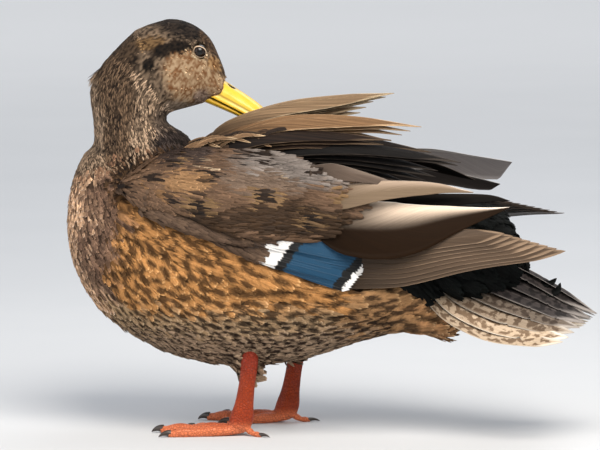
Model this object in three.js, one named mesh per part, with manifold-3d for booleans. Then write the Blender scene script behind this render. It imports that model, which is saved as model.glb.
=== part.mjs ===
// A drake mallard in its plain summer (eclipse) plumage, standing and preening: life size, in millimetres.
// +Z is up, the floor is z = 0, the breast faces -X, the tail +X, and the bird's left side is -Y.
// Every node is the outer shape of the bird with its feathers on. Nothing moves.
import * as THREE from "three";
import { mergeVertices } from "three/addons/utils/BufferGeometryUtils.js";
import Module from "manifold-3d";

const wasm = await Module();
wasm.setup();

// ---------------------------------------------------------------- driving dimensions
const GAP = 0.3; // left between pieces that touch
const VANE = 0.9; // thickness of a feather blade
const STANCE = 33; // each foot's distance from the midline
const FOOT_X = { left: -32, right: -15 }; // where each leg meets its toes
const EYES_AT = [-72.4, 12, 253.5]; // the point midway between the eyes
const HEAD_YAW = 20; // degrees: the head is turned back, over the right shoulder
const HEAD_PITCH = 28; // degrees: the bill points down
const EYE_RADIUS = 5.3;
const BILL_LENGTH = 55;
const RAISED_WING = 14; // how far the right wing's quills stand above the left one's
const PRIMARIES = 5; // quills that show in the folded wing
const TAIL_PAIRS = 7; // tail feathers that show on each side

const LEFT = "left";
const RIGHT = "right";
const sign = (side) => (side === LEFT ? -1 : 1);
const V = (x, y, z) => new THREE.Vector3(x, y, z);
const { lerp, smoothstep, degToRad } = THREE.MathUtils;
const range = (from, to, steps) =>
  Array.from({ length: steps + 1 }, (_, i) => lerp(from, to, i / steps));

// ---------------------------------------------------------------- closed solids from rings
// A closed geometry as a manifold-3d solid, turned right side out.
function manifoldOf(geometry) {
  geometry.deleteAttribute("normal");
  geometry.deleteAttribute("uv");
  const merged = mergeVertices(geometry, 1e-4);
  const vertProperties = merged.attributes.position.array;
  const build = (triVerts) =>
    new wasm.Manifold(new wasm.Mesh({ numProp: 3, vertProperties, triVerts }));
  const triVerts = new Uint32Array(merged.index.array);
  const solid = build(triVerts);
  return solid.volume() > 0 ? solid : build(triVerts.reverse());
}

function geometryOf(solid) {
  const { numProp, vertProperties, triVerts, numVert } = solid.getMesh();
  const positions = new Float32Array(numVert * 3);
  for (let i = 0; i < numVert; i++) {
    positions.set(vertProperties.subarray(i * numProp, i * numProp + 3), i * 3);
  }
  const geometry = new THREE.BufferGeometry();
  geometry.setAttribute("position", new THREE.BufferAttribute(positions, 3));
  geometry.setIndex(new THREE.BufferAttribute(triVerts, 1));
  return geometry;
}

// Joins rings of equal count into one solid, with a fan of triangles at each end.
function solidOfRings(rings) {
  const count = rings[0].length;
  const positions = rings.flat().flatMap((p) => [p.x, p.y, p.z]);
  const faces = [];
  for (let i = 0; i + 1 < rings.length; i++) {
    for (let k = 0; k < count; k++) {
      const a = i * count + k;
      const b = i * count + ((k + 1) % count);
      faces.push(a, b, a + count, b, b + count, a + count);
    }
  }
  for (const end of [0, rings.length - 1]) {
    const middle = rings[end].reduce((sum, p) => sum.add(p), V(0, 0, 0)).divideScalar(count);
    const centre = positions.length / 3;
    positions.push(middle.x, middle.y, middle.z);
    for (let k = 0; k < count; k++) {
      const a = end * count + k;
      const b = end * count + ((k + 1) % count);
      if (end === 0) faces.push(centre, b, a);
      else faces.push(centre, a, b);
    }
  }
  const geometry = new THREE.BufferGeometry();
  geometry.setAttribute("position", new THREE.Float32BufferAttribute(positions, 3));
  geometry.setIndex(faces);
  return manifoldOf(geometry);
}
const joined = (solids) => solids.reduce((sum, solid) => sum.add(solid));

// Rows of numbers, each column smoothed through the rows, with `per` steps between two of them.
function spread(rows, per) {
  const columns = rows[0].map(
    (_, c) => new THREE.SplineCurve(rows.map((row, i) => new THREE.Vector2(i, row[c]))),
  );
  const steps = (rows.length - 1) * per;
  return range(0, 1, steps).map((t) => columns.map((curve) => curve.getPoint(t).y));
}

// A ring between a lowest and a highest point, `half` wide to each side, widest at MIDDLE of its height.
// It is a little squarer than an ellipse.
const SQUARE = 2.2;
const MIDDLE = 0.46;
const power = (value) => Math.sign(value) * Math.abs(value) ** (2 / SQUARE);
function hoopPoint(low, high, half, lateral, turn, out) {
  const [c, s] = [power(Math.cos(turn)), power(Math.sin(turn))];
  const up = high.clone().sub(low);
  const height = up.length();
  up.divideScalar(height);
  const rise = s > 0 ? height * (1 - MIDDLE) : height * MIDDLE;
  return low
    .clone()
    .addScaledVector(up, height * MIDDLE + (rise + out) * s)
    .addScaledVector(lateral, (half + out) * c);
}
function hoop(low, high, half, lateral, count, out) {
  return range(0, 2 * Math.PI, count)
    .slice(0, count)
    .map((turn) => hoopPoint(low, high, half, lateral, turn, out));
}
// Rings with their ends pushed out as well, so that a grown solid is larger all round.
function capped(rings, grow) {
  if (!grow) return solidOfRings(rings);
  const middle = (ring) => ring.reduce((sum, p) => sum.add(p), V(0, 0, 0)).divideScalar(ring.length);
  const push = (ring, next) => {
    const out = middle(ring).sub(middle(next)).normalize().multiplyScalar(grow);
    return ring.map((p) => p.clone().add(out));
  };
  return solidOfRings([push(rings[0], rings[1]), ...rings, push(rings.at(-1), rings.at(-2))]);
}

// A tube along a path. Each row: x, y, z, half depth towards `face`, half width.
function limb(rows, per, count, grow, face = V(1, 0, 0)) {
  const all = spread(rows, per);
  const centre = (i) => V(...all[Math.max(0, Math.min(all.length - 1, i))].slice(0, 3));
  const rings = all.map((row, i) => {
    const along = centre(i + 1).sub(centre(i - 1)).normalize();
    const across = face.clone().cross(along).normalize();
    const up = along.cross(across).normalize();
    return range(0, 2 * Math.PI, count)
      .slice(0, count)
      .map((turn) =>
        centre(i)
          .addScaledVector(up, (row[3] + grow) * Math.sin(turn))
          .addScaledVector(across, (row[4] + grow) * Math.cos(turn)),
      );
  });
  return capped(rings, grow);
}

// ---------------------------------------------------------------- trunk and tail coverts: sections across X
// Each row: x, lowest z, highest z, half width.
const TRUNK = [
  [-158, 127, 152, 15],
  [-154.5, 109.5, 170, 29],
  [-147, 92, 187, 41],
  [-133, 74, 195, 52],
  [-111, 58, 195, 59.5],
  [-80, 47, 190, 63.5],
  [-42, 41.5, 187, 64],
  [0, 46.5, 183, 61.5],
  [40, 58, 176, 54],
  [74, 66.5, 164, 42],
  [95, 61, 143, 27],
  [105, 65.5, 112, 17],
  [109, 73, 96, 9],
];
const TAIL_COVERTS = [
  [74, 106, 160, 30],
  [100, 91, 161, 33],
  [124, 90, 160, 28],
  [138, 96, 151, 19],
  [146, 101, 131, 11],
  [151, 106, 117, 4.5],
];
const SIDEWAYS = V(0, 1, 0);
function bodyOf(rows, count) {
  return (grow) =>
    capped(
      spread(rows, 2).map(([x, low, high, half]) =>
        hoop(V(x, 0, low), V(x, 0, high), half, SIDEWAYS, count, grow),
      ),
      grow,
    );
}

// The trunk's section at any x, for what lies on it.
const trunkColumn = [1, 2, 3].map(
  (c) => new THREE.SplineCurve(TRUNK.map((row) => new THREE.Vector2(row[0], row[c]))),
);
function trunkAt(x) {
  return trunkColumn.map((curve) => {
    let [low, high] = [0, 1];
    for (let i = 0; i < 24; i++) {
      const half = (low + high) / 2;
      if (curve.getPoint(half).x < x) low = half;
      else high = half;
    }
    return curve.getPoint(low).y;
  });
}
// The angle at which the trunk's section at x passes height z.
function angleAt(x, z) {
  const [low, high] = trunkAt(x);
  const middle = lerp(low, high, MIDDLE);
  const share = (z - middle) / (z > middle ? high - middle : middle - low);
  return Math.asin(Math.sign(share) * Math.min(1, Math.abs(share)) ** (SQUARE / 2));
}

// ---------------------------------------------------------------- head and neck
// The head's own frame: +X along the bill, +Z to the crown, its origin midway between the eyes.
const headFrame = new THREE.Matrix4()
  .makeTranslation(...EYES_AT)
  .multiply(new THREE.Matrix4().makeRotationZ(degToRad(HEAD_YAW)))
  .multiply(new THREE.Matrix4().makeRotationY(degToRad(HEAD_PITCH)));
const inHead = (x, y, z) => V(x, y, z).applyMatrix4(headFrame);
const ACROSS_HEAD = V(-Math.sin(degToRad(HEAD_YAW)), Math.cos(degToRad(HEAD_YAW)), 0);

// Each row: x and z on the crown, x and z below it on the throat, half width.
const HEAD = [
  [26.5, -8.5, 23, -28.5, 9.5],
  [21.5, -2.6, 20, -32.2, 13],
  [13.4, 5, 15.4, -36.8, 17],
  [3.5, 12, 10.4, -41.8, 20],
  [-11, 14.8, 6.2, -46, 22],
  [-28, 10.4, 3.8, -49.2, 22.8],
  [-45, -7, 2.8, -51.6, 23],
];
const headEnd = HEAD.at(-1);
// Each row: a point on the nape, a point on the throat, half width. The first matches the back of the head.
const NECK = [
  [...inHead(headEnd[0], 0, headEnd[1]), ...inHead(headEnd[2], 0, headEnd[3]), headEnd[4]],
  [-134.2, -3, 246.9, -91, 3.5, 206, 23.3],
  [-145, -3, 226.8, -89, 2.5, 205, 23.6],
  [-144, -2, 211, -83, 1.5, 201.5, 25],
  [-143.1, -1, 197.4, -76, 0.5, 197, 28.5],
  [-143.3, 0, 181, -68, 0, 187, 35],
];
const headSolid = (grow) =>
  capped(
    spread(HEAD, 2).map(([topX, topZ, lowX, lowZ, half]) =>
      hoop(inHead(lowX, 0, lowZ), inHead(topX, 0, topZ), half, ACROSS_HEAD, 16, grow),
    ),
    grow,
  );
const neckSolid = (grow) => {
  const rows = spread(NECK, 2);
  return capped(
    rows.map((row, i) => {
      const [nape, throat] = [V(...row.slice(0, 3)), V(...row.slice(3, 6))];
      const lateral = ACROSS_HEAD.clone().lerp(SIDEWAYS, i / (rows.length - 1)).normalize();
      return hoop(throat, nape, row[6], lateral, 16, grow);
    }),
    grow,
  );
};

// ---------------------------------------------------------------- bill and eyes
// Each row: distance from the root, lowest and highest z in the head's frame, half width.
const BILL_ROOT = 20;
const UPPER_BILL = [
  [0, -22, -5, 9.4],
  [6, -22, -7.4, 9.8],
  [16, -22.2, -10, 9.8],
  [28, -22.5, -12.6, 10.6],
  [42, -23.3, -15.8, 12.2],
  [53, -25, -19.2, 9],
  [BILL_LENGTH + 3, -26, -22.8, 3.5],
];
const LOWER_BILL = [
  [0, -28.4, -22.4, 8],
  [14, -27.2, -22.6, 8.8],
  [30, -26.2, -23, 9.8],
  [45, -26.4, -24, 10.2],
  [54, -27.4, -26, 6],
];
function billSolid(rows, grow) {
  return capped(
    rows.map(([x, low, high, half]) => {
      const at = BILL_ROOT + x;
      return hoop(inHead(at, 0, low), inHead(at, 0, high), half, ACROSS_HEAD, 12, grow);
    }),
    grow,
  );
}
const EYE_SIDE = 14.6; // from the middle of the head to the middle of an eyeball
function eyeSolid(side, grow) {
  const ball = new THREE.SphereGeometry(EYE_RADIUS + grow, 10, 6);
  ball.translate(...inHead(0, -sign(side) * EYE_SIDE, 0));
  return manifoldOf(ball);
}

// ---------------------------------------------------------------- feather blades
// A thin blade along a spine, its face turned to `face` at the root and `faceEnd` at the tip.
function blade({ spine, half, face, faceEnd = face, camber = 0.15, point = 0.7 }, grow = 0) {
  const curve = new THREE.CatmullRomCurve3(spine.map((p) => V(...p)));
  const rings = [0, 0.2, 0.45, 0.7, 0.88, 0.97, 1].map((t) => {
    const along = curve.getTangent(t);
    const across = V(...face).lerp(V(...faceEnd), t).cross(along).normalize();
    const up = along.clone().cross(across).normalize();
    const open = lerp(0.55, 1, smoothstep(t, 0, 0.3));
    const close = t < point ? 1 : Math.sqrt(1 - (0.995 * (t - point) / (1 - point)) ** 2);
    const width = half * open * close + grow;
    const place = (s, lift) =>
      curve
        .getPoint(t)
        .addScaledVector(across, s * width)
        .addScaledVector(up, lift - camber * width * s * s);
    const [edge, middle] = [VANE * 0.3 + grow, VANE * 0.5 + grow];
    const upper = [place(-1, edge), place(0, middle), place(1, edge)];
    return [...upper, place(1, -edge), place(0, -middle), place(-1, -edge)];
  });
  return capped(rings, grow);
}
// Quills that overlap into one pleated sheet, from the spine `first` to `last`, with a tip for each.
function fan(side, { first, last, normal, feathers, bow = 1 }, grow) {
  const pleat = [0, 0.5, 0.93]; // stations across one feather
  const stations = Array.from({ length: feathers }, (_, i) => pleat.map((q) => [(i + q) / feathers, q]));
  const rings = stations.flat().map(([s, q]) => {
    const points = first.map((p, i) => {
      const [x, y, z] = p.map((value, c) => lerp(value, last[i][c], c === 0 ? s ** bow : s));
      return V(x, sign(side) * y, z);
    });
    const curve = new THREE.CatmullRomCurve3(points);
    const reach = 1 - 0.07 * (2 * q - 1) ** 2; // each tip is rounded
    const line = range(0, reach, 3).map((t) => curve.getPoint(t));
    const out = V(normal[0], sign(side) * normal[1], normal[2]).normalize();
    const step = VANE * (1 - q); // and each feather's edge lies over the next one
    return [
      ...line.map((p) => p.clone().addScaledVector(out, VANE * 0.5 + step + grow)),
      ...line.reverse().map((p) => p.clone().addScaledVector(out, step - VANE * 0.5 - grow)),
    ];
  });
  return capped(rings, grow);
}
const bladesOf = (list) => (grow) => joined(list.map((one) => blade(one, grow)));
// The same blades on the bird's left or right: y is given as a distance from the midline.
const mirrored = (side, { spine, face, faceEnd = face, ...rest }) => ({
  spine: spine.map(([x, y, z]) => [x, sign(side) * y, z]),
  face: [face[0], sign(side) * face[1], face[2]],
  faceEnd: [faceEnd[0], sign(side) * faceEnd[1], faceEnd[2]],
  ...rest,
});

// ---------------------------------------------------------------- wings
// A curved plate over the trunk between a lower and an upper height at each x, `from` above its surface.
function plate({ xs, lower, upper, from, thickness, side }, grow = 0) {
  const steps = 5;
  const rings = xs.map((x, i) => {
    const [low, high, half] = trunkAt(x);
    const edge = grow / 60;
    const angles = range(angleAt(x, lower(x)) - edge, angleAt(x, upper(x)) + edge, steps);
    const point = (angle, out) =>
      hoopPoint(V(x, 0, low), V(x, 0, high), half, V(0, sign(side), 0), angle, out);
    const thick = (k) => thickness(i / (xs.length - 1), k / steps);
    const outer = angles.map((angle, k) => point(angle, from + thick(k) + grow));
    const inner = angles.map((angle) => point(angle, Math.max(0, from - grow)));
    return [...outer, ...inner.reverse()];
  });
  return capped(rings, grow);
}
// A height that runs through points given as [x, z].
function heights(points) {
  return (x) => {
    const next = points.findIndex((p) => p[0] >= x);
    const i = next < 0 ? points.length - 1 : Math.max(1, next);
    const [a, b] = [points[i - 1], points[i]];
    return lerp(a[1], b[1], (x - a[0]) / (b[0] - a[0]));
  };
}
// The folded wing shows between the scapulars above and the flank feathers below.
const scapularEdge = heights([[-112, 165], [-98, 149], [-55, 135], [-20, 130], [20, 138], [58, 158]]);
const scapularTop = heights([[-112, 172], [-80, 188], [0, 182], [58, 172]]);
const flankLine = heights([[-102, 151], [-54, 137], [-14, 120], [43, 101], [60, 99]]);

const scapulars = (side) => (grow) =>
  plate(
    {
      xs: range(-112, 58, 10),
      lower: scapularEdge,
      upper: scapularTop,
      from: 3.9,
      thickness: (s, t) => 0.7 + 5.2 * Math.sin(Math.PI * s) * (1 - t ** 3) * smoothstep(t, -0.4, 0.4),
      side,
    },
    grow,
  );
const wingPlate = (from, to, height) => (side) => (grow) =>
  plate(
    {
      xs: range(from, to, 4),
      lower: (x) => flankLine(x) - 1,
      upper: (x) => flankLine(x) + height,
      from: 0.5,
      thickness: () => 2.8,
      side,
    },
    grow,
  );
const coverts = wingPlate(-84, -10, 24);
const speculum = wingPlate(-9, 52, 27);

// The tertials: broad quills over the folded primaries. `raise` lifts the tips, on the wing being preened.
const TERTIALS = {
  left: [
    { spine: [[4, 66, 148], [37, 63, 143], [77, 55, 143], [117, 43, 150], [148, 31, 158]], half: 16 },
    { spine: [[-6, 62, 157], [37, 59, 157], [77, 52, 161], [108, 43, 164], [125, 38, 166.5]], half: 12 },
    { spine: [[-8, 55, 172], [34, 53, 173], [62, 48, 171], [82, 43, 169], [104, 39, 165]], half: 10 },
  ],
  right: [
    { spine: [[0, 64, 145], [40, 60, 148], [80, 52, 152], [104, 46, 158], [126, 38, 159]], half: 13 },
    { spine: [[-14, 58, 160], [30, 56, 166], [70, 50, 172], [104, 46, 172], [130, 40, 167]], half: 11 },
    { spine: [[-24, 44, 176], [20, 44, 184], [60, 43, 186], [100, 41, 180], [136, 38, 178]], half: 9 },
  ],
};
const tertial = (side, i) => (grow) =>
  blade(
    mirrored(side, {
      ...TERTIALS[side][i],
      face: [0, 1, 0.25 + 0.3 * i],
      faceEnd: [0, 0.8, 0.5 + 0.3 * i],
      point: 0.42,
    }),
    grow,
  );
// The primaries: long narrow quills, fanned from the longest and lowest to the shortest, under the tertials.
const PRIMARY_FAN = {
  first: [[30, 58, 101], [76, 56, 102], [122, 46, 111.5], [156, 32, 125], [184, 21, 131.5]],
  last: [[34, 62, 123], [72, 59, 126], [98, 54, 134], [120, 46, 139], [142, 38, 141]],
  normal: [0, 1, 0.2],
};
const primaries = (side) => (grow) => {
  const raise = side === RIGHT ? RAISED_WING : 0;
  const lifted = (row) => row.map(([x, y, z], i) => [x - (raise / 8) * (i / 4), y, z + raise * (i / 4) ** 2]);
  const { first, last, normal } = PRIMARY_FAN;
  return fan(side, { first: lifted(first), last: lifted(last), normal, feathers: PRIMARIES }, grow);
};

// ---------------------------------------------------------------- ruffled feathers the bill works through
const RUFFLED = [
  [[-72, -2, 186], [-52, -3, 205], [-14, -2, 216], [26, 0, 221.5], [60, 2, 226]],
  [[-70, -9, 184], [-46, -10, 202], [-6, -10, 210.5], [36, -8, 211.5], [77, -5, 209.5]],
  [[-62, -16, 183], [-38, -17, 196], [-6, -17, 203], [30, -16, 202], [67, -14, 199.5]],
  [[-50, -6, 186], [-24, -7, 197], [8, -6, 201], [44, -4, 199], [84, 0, 193]],
  [[-40, -14, 186], [-10, -15, 193], [20, -14, 195], [56, -11, 193], [92, -8, 186]],
];
const RUFFLED_VANE = { half: 10, face: [-0.5, -0.7, 0.7], faceEnd: [0, -0.75, 0.8], point: 0.55 };
const RUFFLED_RAISED = 3; // the blades that stand highest; the rest lie under them
const ruffledBlades = (spines) => bladesOf(spines.map((spine) => ({ spine, ...RUFFLED_VANE })));

// ---------------------------------------------------------------- tail
// The fan is arched: the outer feathers lie lower and curve up to their tips.
const TAIL_FAN = {
  first: [[112, 1, 120], [128, 1, 118.5], [150, 1, 112], [175, 1, 99], [200, 1, 83.5]],
  last: [[88, 25, 93], [110, 33, 77], [136, 38, 66.5], [163, 41, 64.5], [185, 43, 68.5]],
  normal: [0.25, 0.35, 1],
  feathers: TAIL_PAIRS,
  bow: 1.3,
};
const tail = (side) => (grow) => fan(side, TAIL_FAN, grow);
const curl = (grow) =>
  limb(
    [
      [140, 0, 126, 5, 5],
      [156, -1, 115.5, 2.6, 5],
      [168, -2, 106, 1.6, 4.2],
      [176, -2, 103.5, 1, 2.6],
      [179.5, -2, 107, 0.6, 0.9],
    ],
    1,
    8,
    grow,
    V(0, 0, 1),
  );

// ---------------------------------------------------------------- legs
const THIGH_END = { left: 33.5, right: 41 }; // the forward leg shows more of its feathered thigh
function thighSolid(side, grow) {
  const [x, y, end] = [FOOT_X[side], sign(side), THIGH_END[side]];
  return limb(
    [
      [x - 8, y * 26, 76, 22, 22],
      [x - 4, y * 27, 58, 16, 15],
      [x + 1.5, y * 28, end + 12, 10.5, 9],
      [x + 1, y * 28.5, end + 4.5, 7.4, 5.6],
      [x + 0.5, y * 29, end, 6, 4],
    ],
    2,
    11,
    grow,
  );
}
function shankSolid(side, grow) {
  const [x, y] = [FOOT_X[side], sign(side)];
  return limb(
    [
      [x + 4, y * 36, 60, 4.4, 4],
      [x + 5, y * 35.5, 46, 5, 4.4],
      [x + 3.4, y * 34.5, 34, 5.4, 3.9],
      [x + 1.6, y * 33.5, 22, 5.8, 3.8],
      [x, y * 33, 10.5, 6.6, 4.8],
    ],
    1,
    10,
    grow,
  );
}
// Each toe: turn outwards from straight ahead in degrees, length without the claw, half thickness.
const TOES = [
  { turn: -25, length: 43, half: 3.1 },
  { turn: -1, length: 56, half: 3.4 },
  { turn: 21, length: 50, half: 3.1 },
];
const HIND_TOE = { turn: 160, length: 15, half: 2.1 };
// A place on the foot: `reach` from the ball in the direction `turn`, `z` above the floor.
function onFoot(side, turn, reach, z) {
  const angle = degToRad(turn);
  return [FOOT_X[side] - reach * Math.cos(angle), sign(side) * (STANCE + reach * Math.sin(angle)), z];
}
const UPWARD = V(0, 0, 1);
function toeSolid(side, { turn, length, half }) {
  const rows = [0, 0.35, 0.52, 0.8, 1].map((t, i) => {
    const thick = half * (i % 2 === 0 ? 1 : 0.84) * lerp(1.15, 0.7, t);
    return [...onFoot(side, turn, t * length, thick * 0.82 + 2.2 * (1 - t) ** 6), thick, thick * 0.95];
  });
  return limb(rows, 1, 6, 0, UPWARD);
}
// The web between two toes: a thin fan whose front edge curves in.
function webSolid(side, a, b) {
  const rings = range(0, 1, 4).map((t) => {
    const turn = lerp(a.turn, b.turn, t);
    const far = 0.93 * lerp(a.length, b.length, t) * (1 - 0.3 * Math.sin(Math.PI * t));
    const outline = [[4, 3.4], [far * 0.5, 2.7], [far, 1.9], [far, 0.9], [far * 0.5, 1.5], [4, 1.6]];
    return outline.map(([reach, z]) => V(...onFoot(side, turn, reach, z)));
  });
  return solidOfRings(rings);
}
function footSolid(side) {
  const pad = [[-7, 5, 5, 4.4], [0, 5.2, 5.6, 5.4], [9, 3.6, 4, 5.6]];
  const heel = [[2, 10, 3, 2.8], [8, 8, 2.4, 2.2], [HIND_TOE.length, 3.2, HIND_TOE.half, 1.9]];
  const along = (rows, turn, count) => {
    const placed = rows.map(([reach, z, ...size]) => [...onFoot(side, turn, reach, z), ...size]);
    return limb(placed, 1, count, 0, UPWARD);
  };
  return joined([
    ...TOES.map((toe) => toeSolid(side, toe)),
    webSolid(side, TOES[0], TOES[1]),
    webSolid(side, TOES[1], TOES[2]),
    along(pad, 0, 7),
    along(heel, HIND_TOE.turn, 6),
  ]).trimByPlane([0, 0, 1], 0);
}
// A short curved claw from the end of a toe.
function clawSolid(side, { turn, length, half = 2.4 }) {
  const rows = [0, 0.5, 1].map((t) => {
    const thick = lerp(0.62 * half, 0.5, t);
    return [...onFoot(side, turn, length + GAP + t * 6, lerp(0.85 * half, 0.9, t ** 2)), thick, thick * 0.8];
  });
  return limb(rows, 1, 6, 0, UPWARD);
}

// ---------------------------------------------------------------- colours
const material = (color, roughness) => new THREE.MeshStandardMaterial({ color, roughness, metalness: 0 });
const FINISH = {
  plumage: material(0x8a6a48, 0.85),
  crown: material(0x5a4a3a, 0.85),
  quills: material(0x75685a, 0.7),
  speculum: material(0x1f5a80, 0.4),
  rump: material(0x12110f, 0.6),
  tail: material(0xcfc2ae, 0.75),
  bill: material(0xe8c22c, 0.4),
  leg: material(0xd8562a, 0.55),
  claw: material(0x2b2723, 0.4),
  eye: material(0x1c110b, 0.08),
};

// ---------------------------------------------------------------- the nodes
// `make(grow)` gives a node's whole solid, which is then cut clear of the nodes named in `clear`.
const parts = new Map();
const add = (name, finish, make, ...clear) => parts.set(name, { finish, make, clear });

add("eye_left", "eye", (grow) => eyeSolid(LEFT, grow));
add("eye_right", "eye", (grow) => eyeSolid(RIGHT, grow));
add("bill_upper", "bill", (grow) => billSolid(UPPER_BILL, grow));
add("bill_lower", "bill", (grow) => billSolid(LOWER_BILL, grow), "bill_upper");
add("head", "crown", headSolid, "eye_left", "eye_right", "bill_upper", "bill_lower");
add("neck", "crown", neckSolid, "head");
add("trunk", "plumage", bodyOf(TRUNK, 18), "neck");
add("tail_coverts", "rump", bodyOf(TAIL_COVERTS, 16), "trunk");
add("tail_curl", "rump", curl, "tail_coverts");
for (const side of [LEFT, RIGHT]) {
  const wing = `wing_${side}_`;
  add(`shank_${side}`, "leg", (grow) => shankSolid(side, grow), "trunk");
  add(`thigh_${side}`, "plumage", (grow) => thighSolid(side, grow), "trunk", `shank_${side}`);
  add(`foot_${side}`, "leg", () => footSolid(side), `shank_${side}`);
  [...TOES, HIND_TOE].forEach((toe, i) => {
    add(`claw_${side}_${i + 1}`, "claw", () => clawSolid(side, toe), `foot_${side}`);
  });
  add(`${wing}coverts`, "quills", coverts(side), "trunk");
  add(`${wing}speculum`, "speculum", speculum(side), "trunk");
  add(`scapulars_${side}`, "plumage", scapulars(side), "trunk", "neck");
  const under = ["trunk", "tail_coverts", `${wing}coverts`, `${wing}speculum`, `scapulars_${side}`];
  const quills = TERTIALS[side].map((_, i) => `${wing}tertial_${i + 1}`);
  quills.forEach((name, i) => add(name, "quills", tertial(side, i), ...under, ...quills.slice(0, i)));
  add(`${wing}primaries`, "quills", primaries(side), ...under, ...quills);
  add(`tail_feathers_${side}`, "tail", tail(side), "trunk", "tail_coverts", "tail_curl");
}
const underRuffled = ["trunk", "neck", "bill_upper", "bill_lower", "scapulars_left", "scapulars_right"];
underRuffled.push("wing_left_tertial_3", "wing_right_tertial_3");
const raised = ruffledBlades(RUFFLED.slice(0, RUFFLED_RAISED));
const lower = ruffledBlades(RUFFLED.slice(RUFFLED_RAISED));
add("ruffled_feathers_raised", "plumage", raised, ...underRuffled);
add("ruffled_feathers_lower", "plumage", lower, ...underRuffled, "ruffled_feathers_raised");

// The largest piece of a solid, in case a cut left a crumb beside it, without needless small faces.
function whole(solid) {
  const pieces = solid.simplify(0.15).decompose();
  return pieces.reduce((a, b) => (b.volume() > a.volume() ? b : a));
}
const finished = new Map();
for (const [name, { make, clear }] of parts) {
  let solid = make(0);
  for (const other of clear) {
    solid = solid.subtract(finished.get(other).add(parts.get(other).make(GAP)));
  }
  finished.set(name, whole(solid));
}

const mallard = new THREE.Group();
for (const [name, { finish }] of parts) {
  const mesh = new THREE.Mesh(geometryOf(finished.get(name)), FINISH[finish]);
  mesh.name = name;
  mallard.add(mesh);
}
// The origin is on the floor under the middle of the bird's bounding box.
const box = new THREE.Box3().setFromObject(mallard);
const middle = box.getCenter(V(0, 0, 0));
mallard.position.set(-middle.x, -middle.y, -box.min.z);

export default mallard;
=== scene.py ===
import math

import bmesh
import bpy
import numpy as np
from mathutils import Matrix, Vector
from mathutils.bvhtree import BVHTree


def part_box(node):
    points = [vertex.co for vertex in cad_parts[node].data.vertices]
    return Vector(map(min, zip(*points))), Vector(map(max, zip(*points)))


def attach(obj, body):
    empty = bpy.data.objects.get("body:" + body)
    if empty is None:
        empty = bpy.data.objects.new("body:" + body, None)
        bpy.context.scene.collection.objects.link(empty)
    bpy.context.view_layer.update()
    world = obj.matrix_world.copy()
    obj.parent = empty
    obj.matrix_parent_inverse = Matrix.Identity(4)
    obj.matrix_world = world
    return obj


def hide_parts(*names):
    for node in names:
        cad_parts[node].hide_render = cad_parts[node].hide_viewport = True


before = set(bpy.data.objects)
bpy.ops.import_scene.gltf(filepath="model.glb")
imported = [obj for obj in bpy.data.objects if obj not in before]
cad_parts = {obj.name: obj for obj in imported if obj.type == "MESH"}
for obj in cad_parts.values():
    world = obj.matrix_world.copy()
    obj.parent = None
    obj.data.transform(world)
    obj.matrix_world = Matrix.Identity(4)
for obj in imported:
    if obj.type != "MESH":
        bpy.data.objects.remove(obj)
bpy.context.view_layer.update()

# ---------------------------------------------------------------- The studio
# A round pale floor that curves up far from the bird, a broad soft lamp above, a weaker one from the
# other side and a pale surround. The camera looks a little down from the tail side, from far off.
MM = 0.001
BREAST_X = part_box("trunk")[0].x
scene = bpy.context.scene


def placed(rows, side=1):
    """Places in metres, from rows of millimetres behind the breast, to the right and above the floor."""
    return np.asarray(rows, float) * [1, side, 1] * MM + [BREAST_X, 0, 0]


def at(x, y, z):
    return placed((x, y, z))


def seen_from(azimuth, elevation):
    a, e = math.radians(azimuth), math.radians(elevation)
    return Vector((math.sin(a) * math.cos(e), -math.cos(a) * math.cos(e), math.sin(e)))


def aimed(thing, target, azimuth, elevation, distance):
    back = seen_from(azimuth, elevation)
    thing.location = Vector(target) + back * distance
    thing.rotation_euler = back.to_track_quat("Z", "Y").to_euler()
    scene.collection.objects.link(thing)


CAMERA_DISTANCE = 4.0
FRAME_WIDTH = 0.4  # what the picture takes in at the bird
camera = bpy.data.objects.new("camera", bpy.data.cameras.new("camera"))
camera.data.lens = camera.data.sensor_width * CAMERA_DISTANCE / FRAME_WIDTH
aimed(camera, at(158, 0, 138), 12, 6.5, CAMERA_DISTANCE)
scene.camera = camera

LAMPS = {  # watts, size in metres, azimuth, elevation, distance, colour
    "key": (42, 1.1, 28, 48, 1.7, (1.0, 0.95, 0.88)),
    "fill": (13, 1.8, -52, 26, 2.0, (0.95, 0.96, 1.0)),
    "rim": (13, 1.2, 165, 50, 1.9, (0.95, 0.97, 1.0)),
}
for name, (watts, size, azimuth, elevation, distance, colour) in LAMPS.items():
    lamp = bpy.data.lights.new(name, "AREA")
    lamp.energy, lamp.size, lamp.color = watts, size, colour
    aimed(bpy.data.objects.new(name, lamp), at(150, 0, 130), azimuth, elevation, distance)
world = bpy.data.worlds.new("surround")
world.use_nodes = True
world.node_tree.nodes["Background"].inputs["Color"].default_value = (0.80, 0.86, 0.95, 1)
world.node_tree.nodes["Background"].inputs["Strength"].default_value = 0.42
scene.world = world
scene.view_settings.view_transform = "Standard"


class Wire:
    """What a node puts out. Sums with it add nodes to its tree."""

    def __init__(self, socket):
        self.socket = socket

    def does(self, operation, *others):
        wires = dict(enumerate((self, *others)))
        return Wire(add_node(self.socket.id_data, "ShaderNodeMath", wires, operation=operation).outputs[0])

    def __add__(self, other):
        return self.does("ADD", other)

    def __sub__(self, other):
        return self.does("SUBTRACT", other)

    def __rsub__(self, other):
        return self * -1.0 + other

    def __mul__(self, other):
        return self.does("MULTIPLY", other)

    def __truediv__(self, other):
        return self.does("DIVIDE", other)

    def __abs__(self):
        return self.does("ABSOLUTE")


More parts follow.
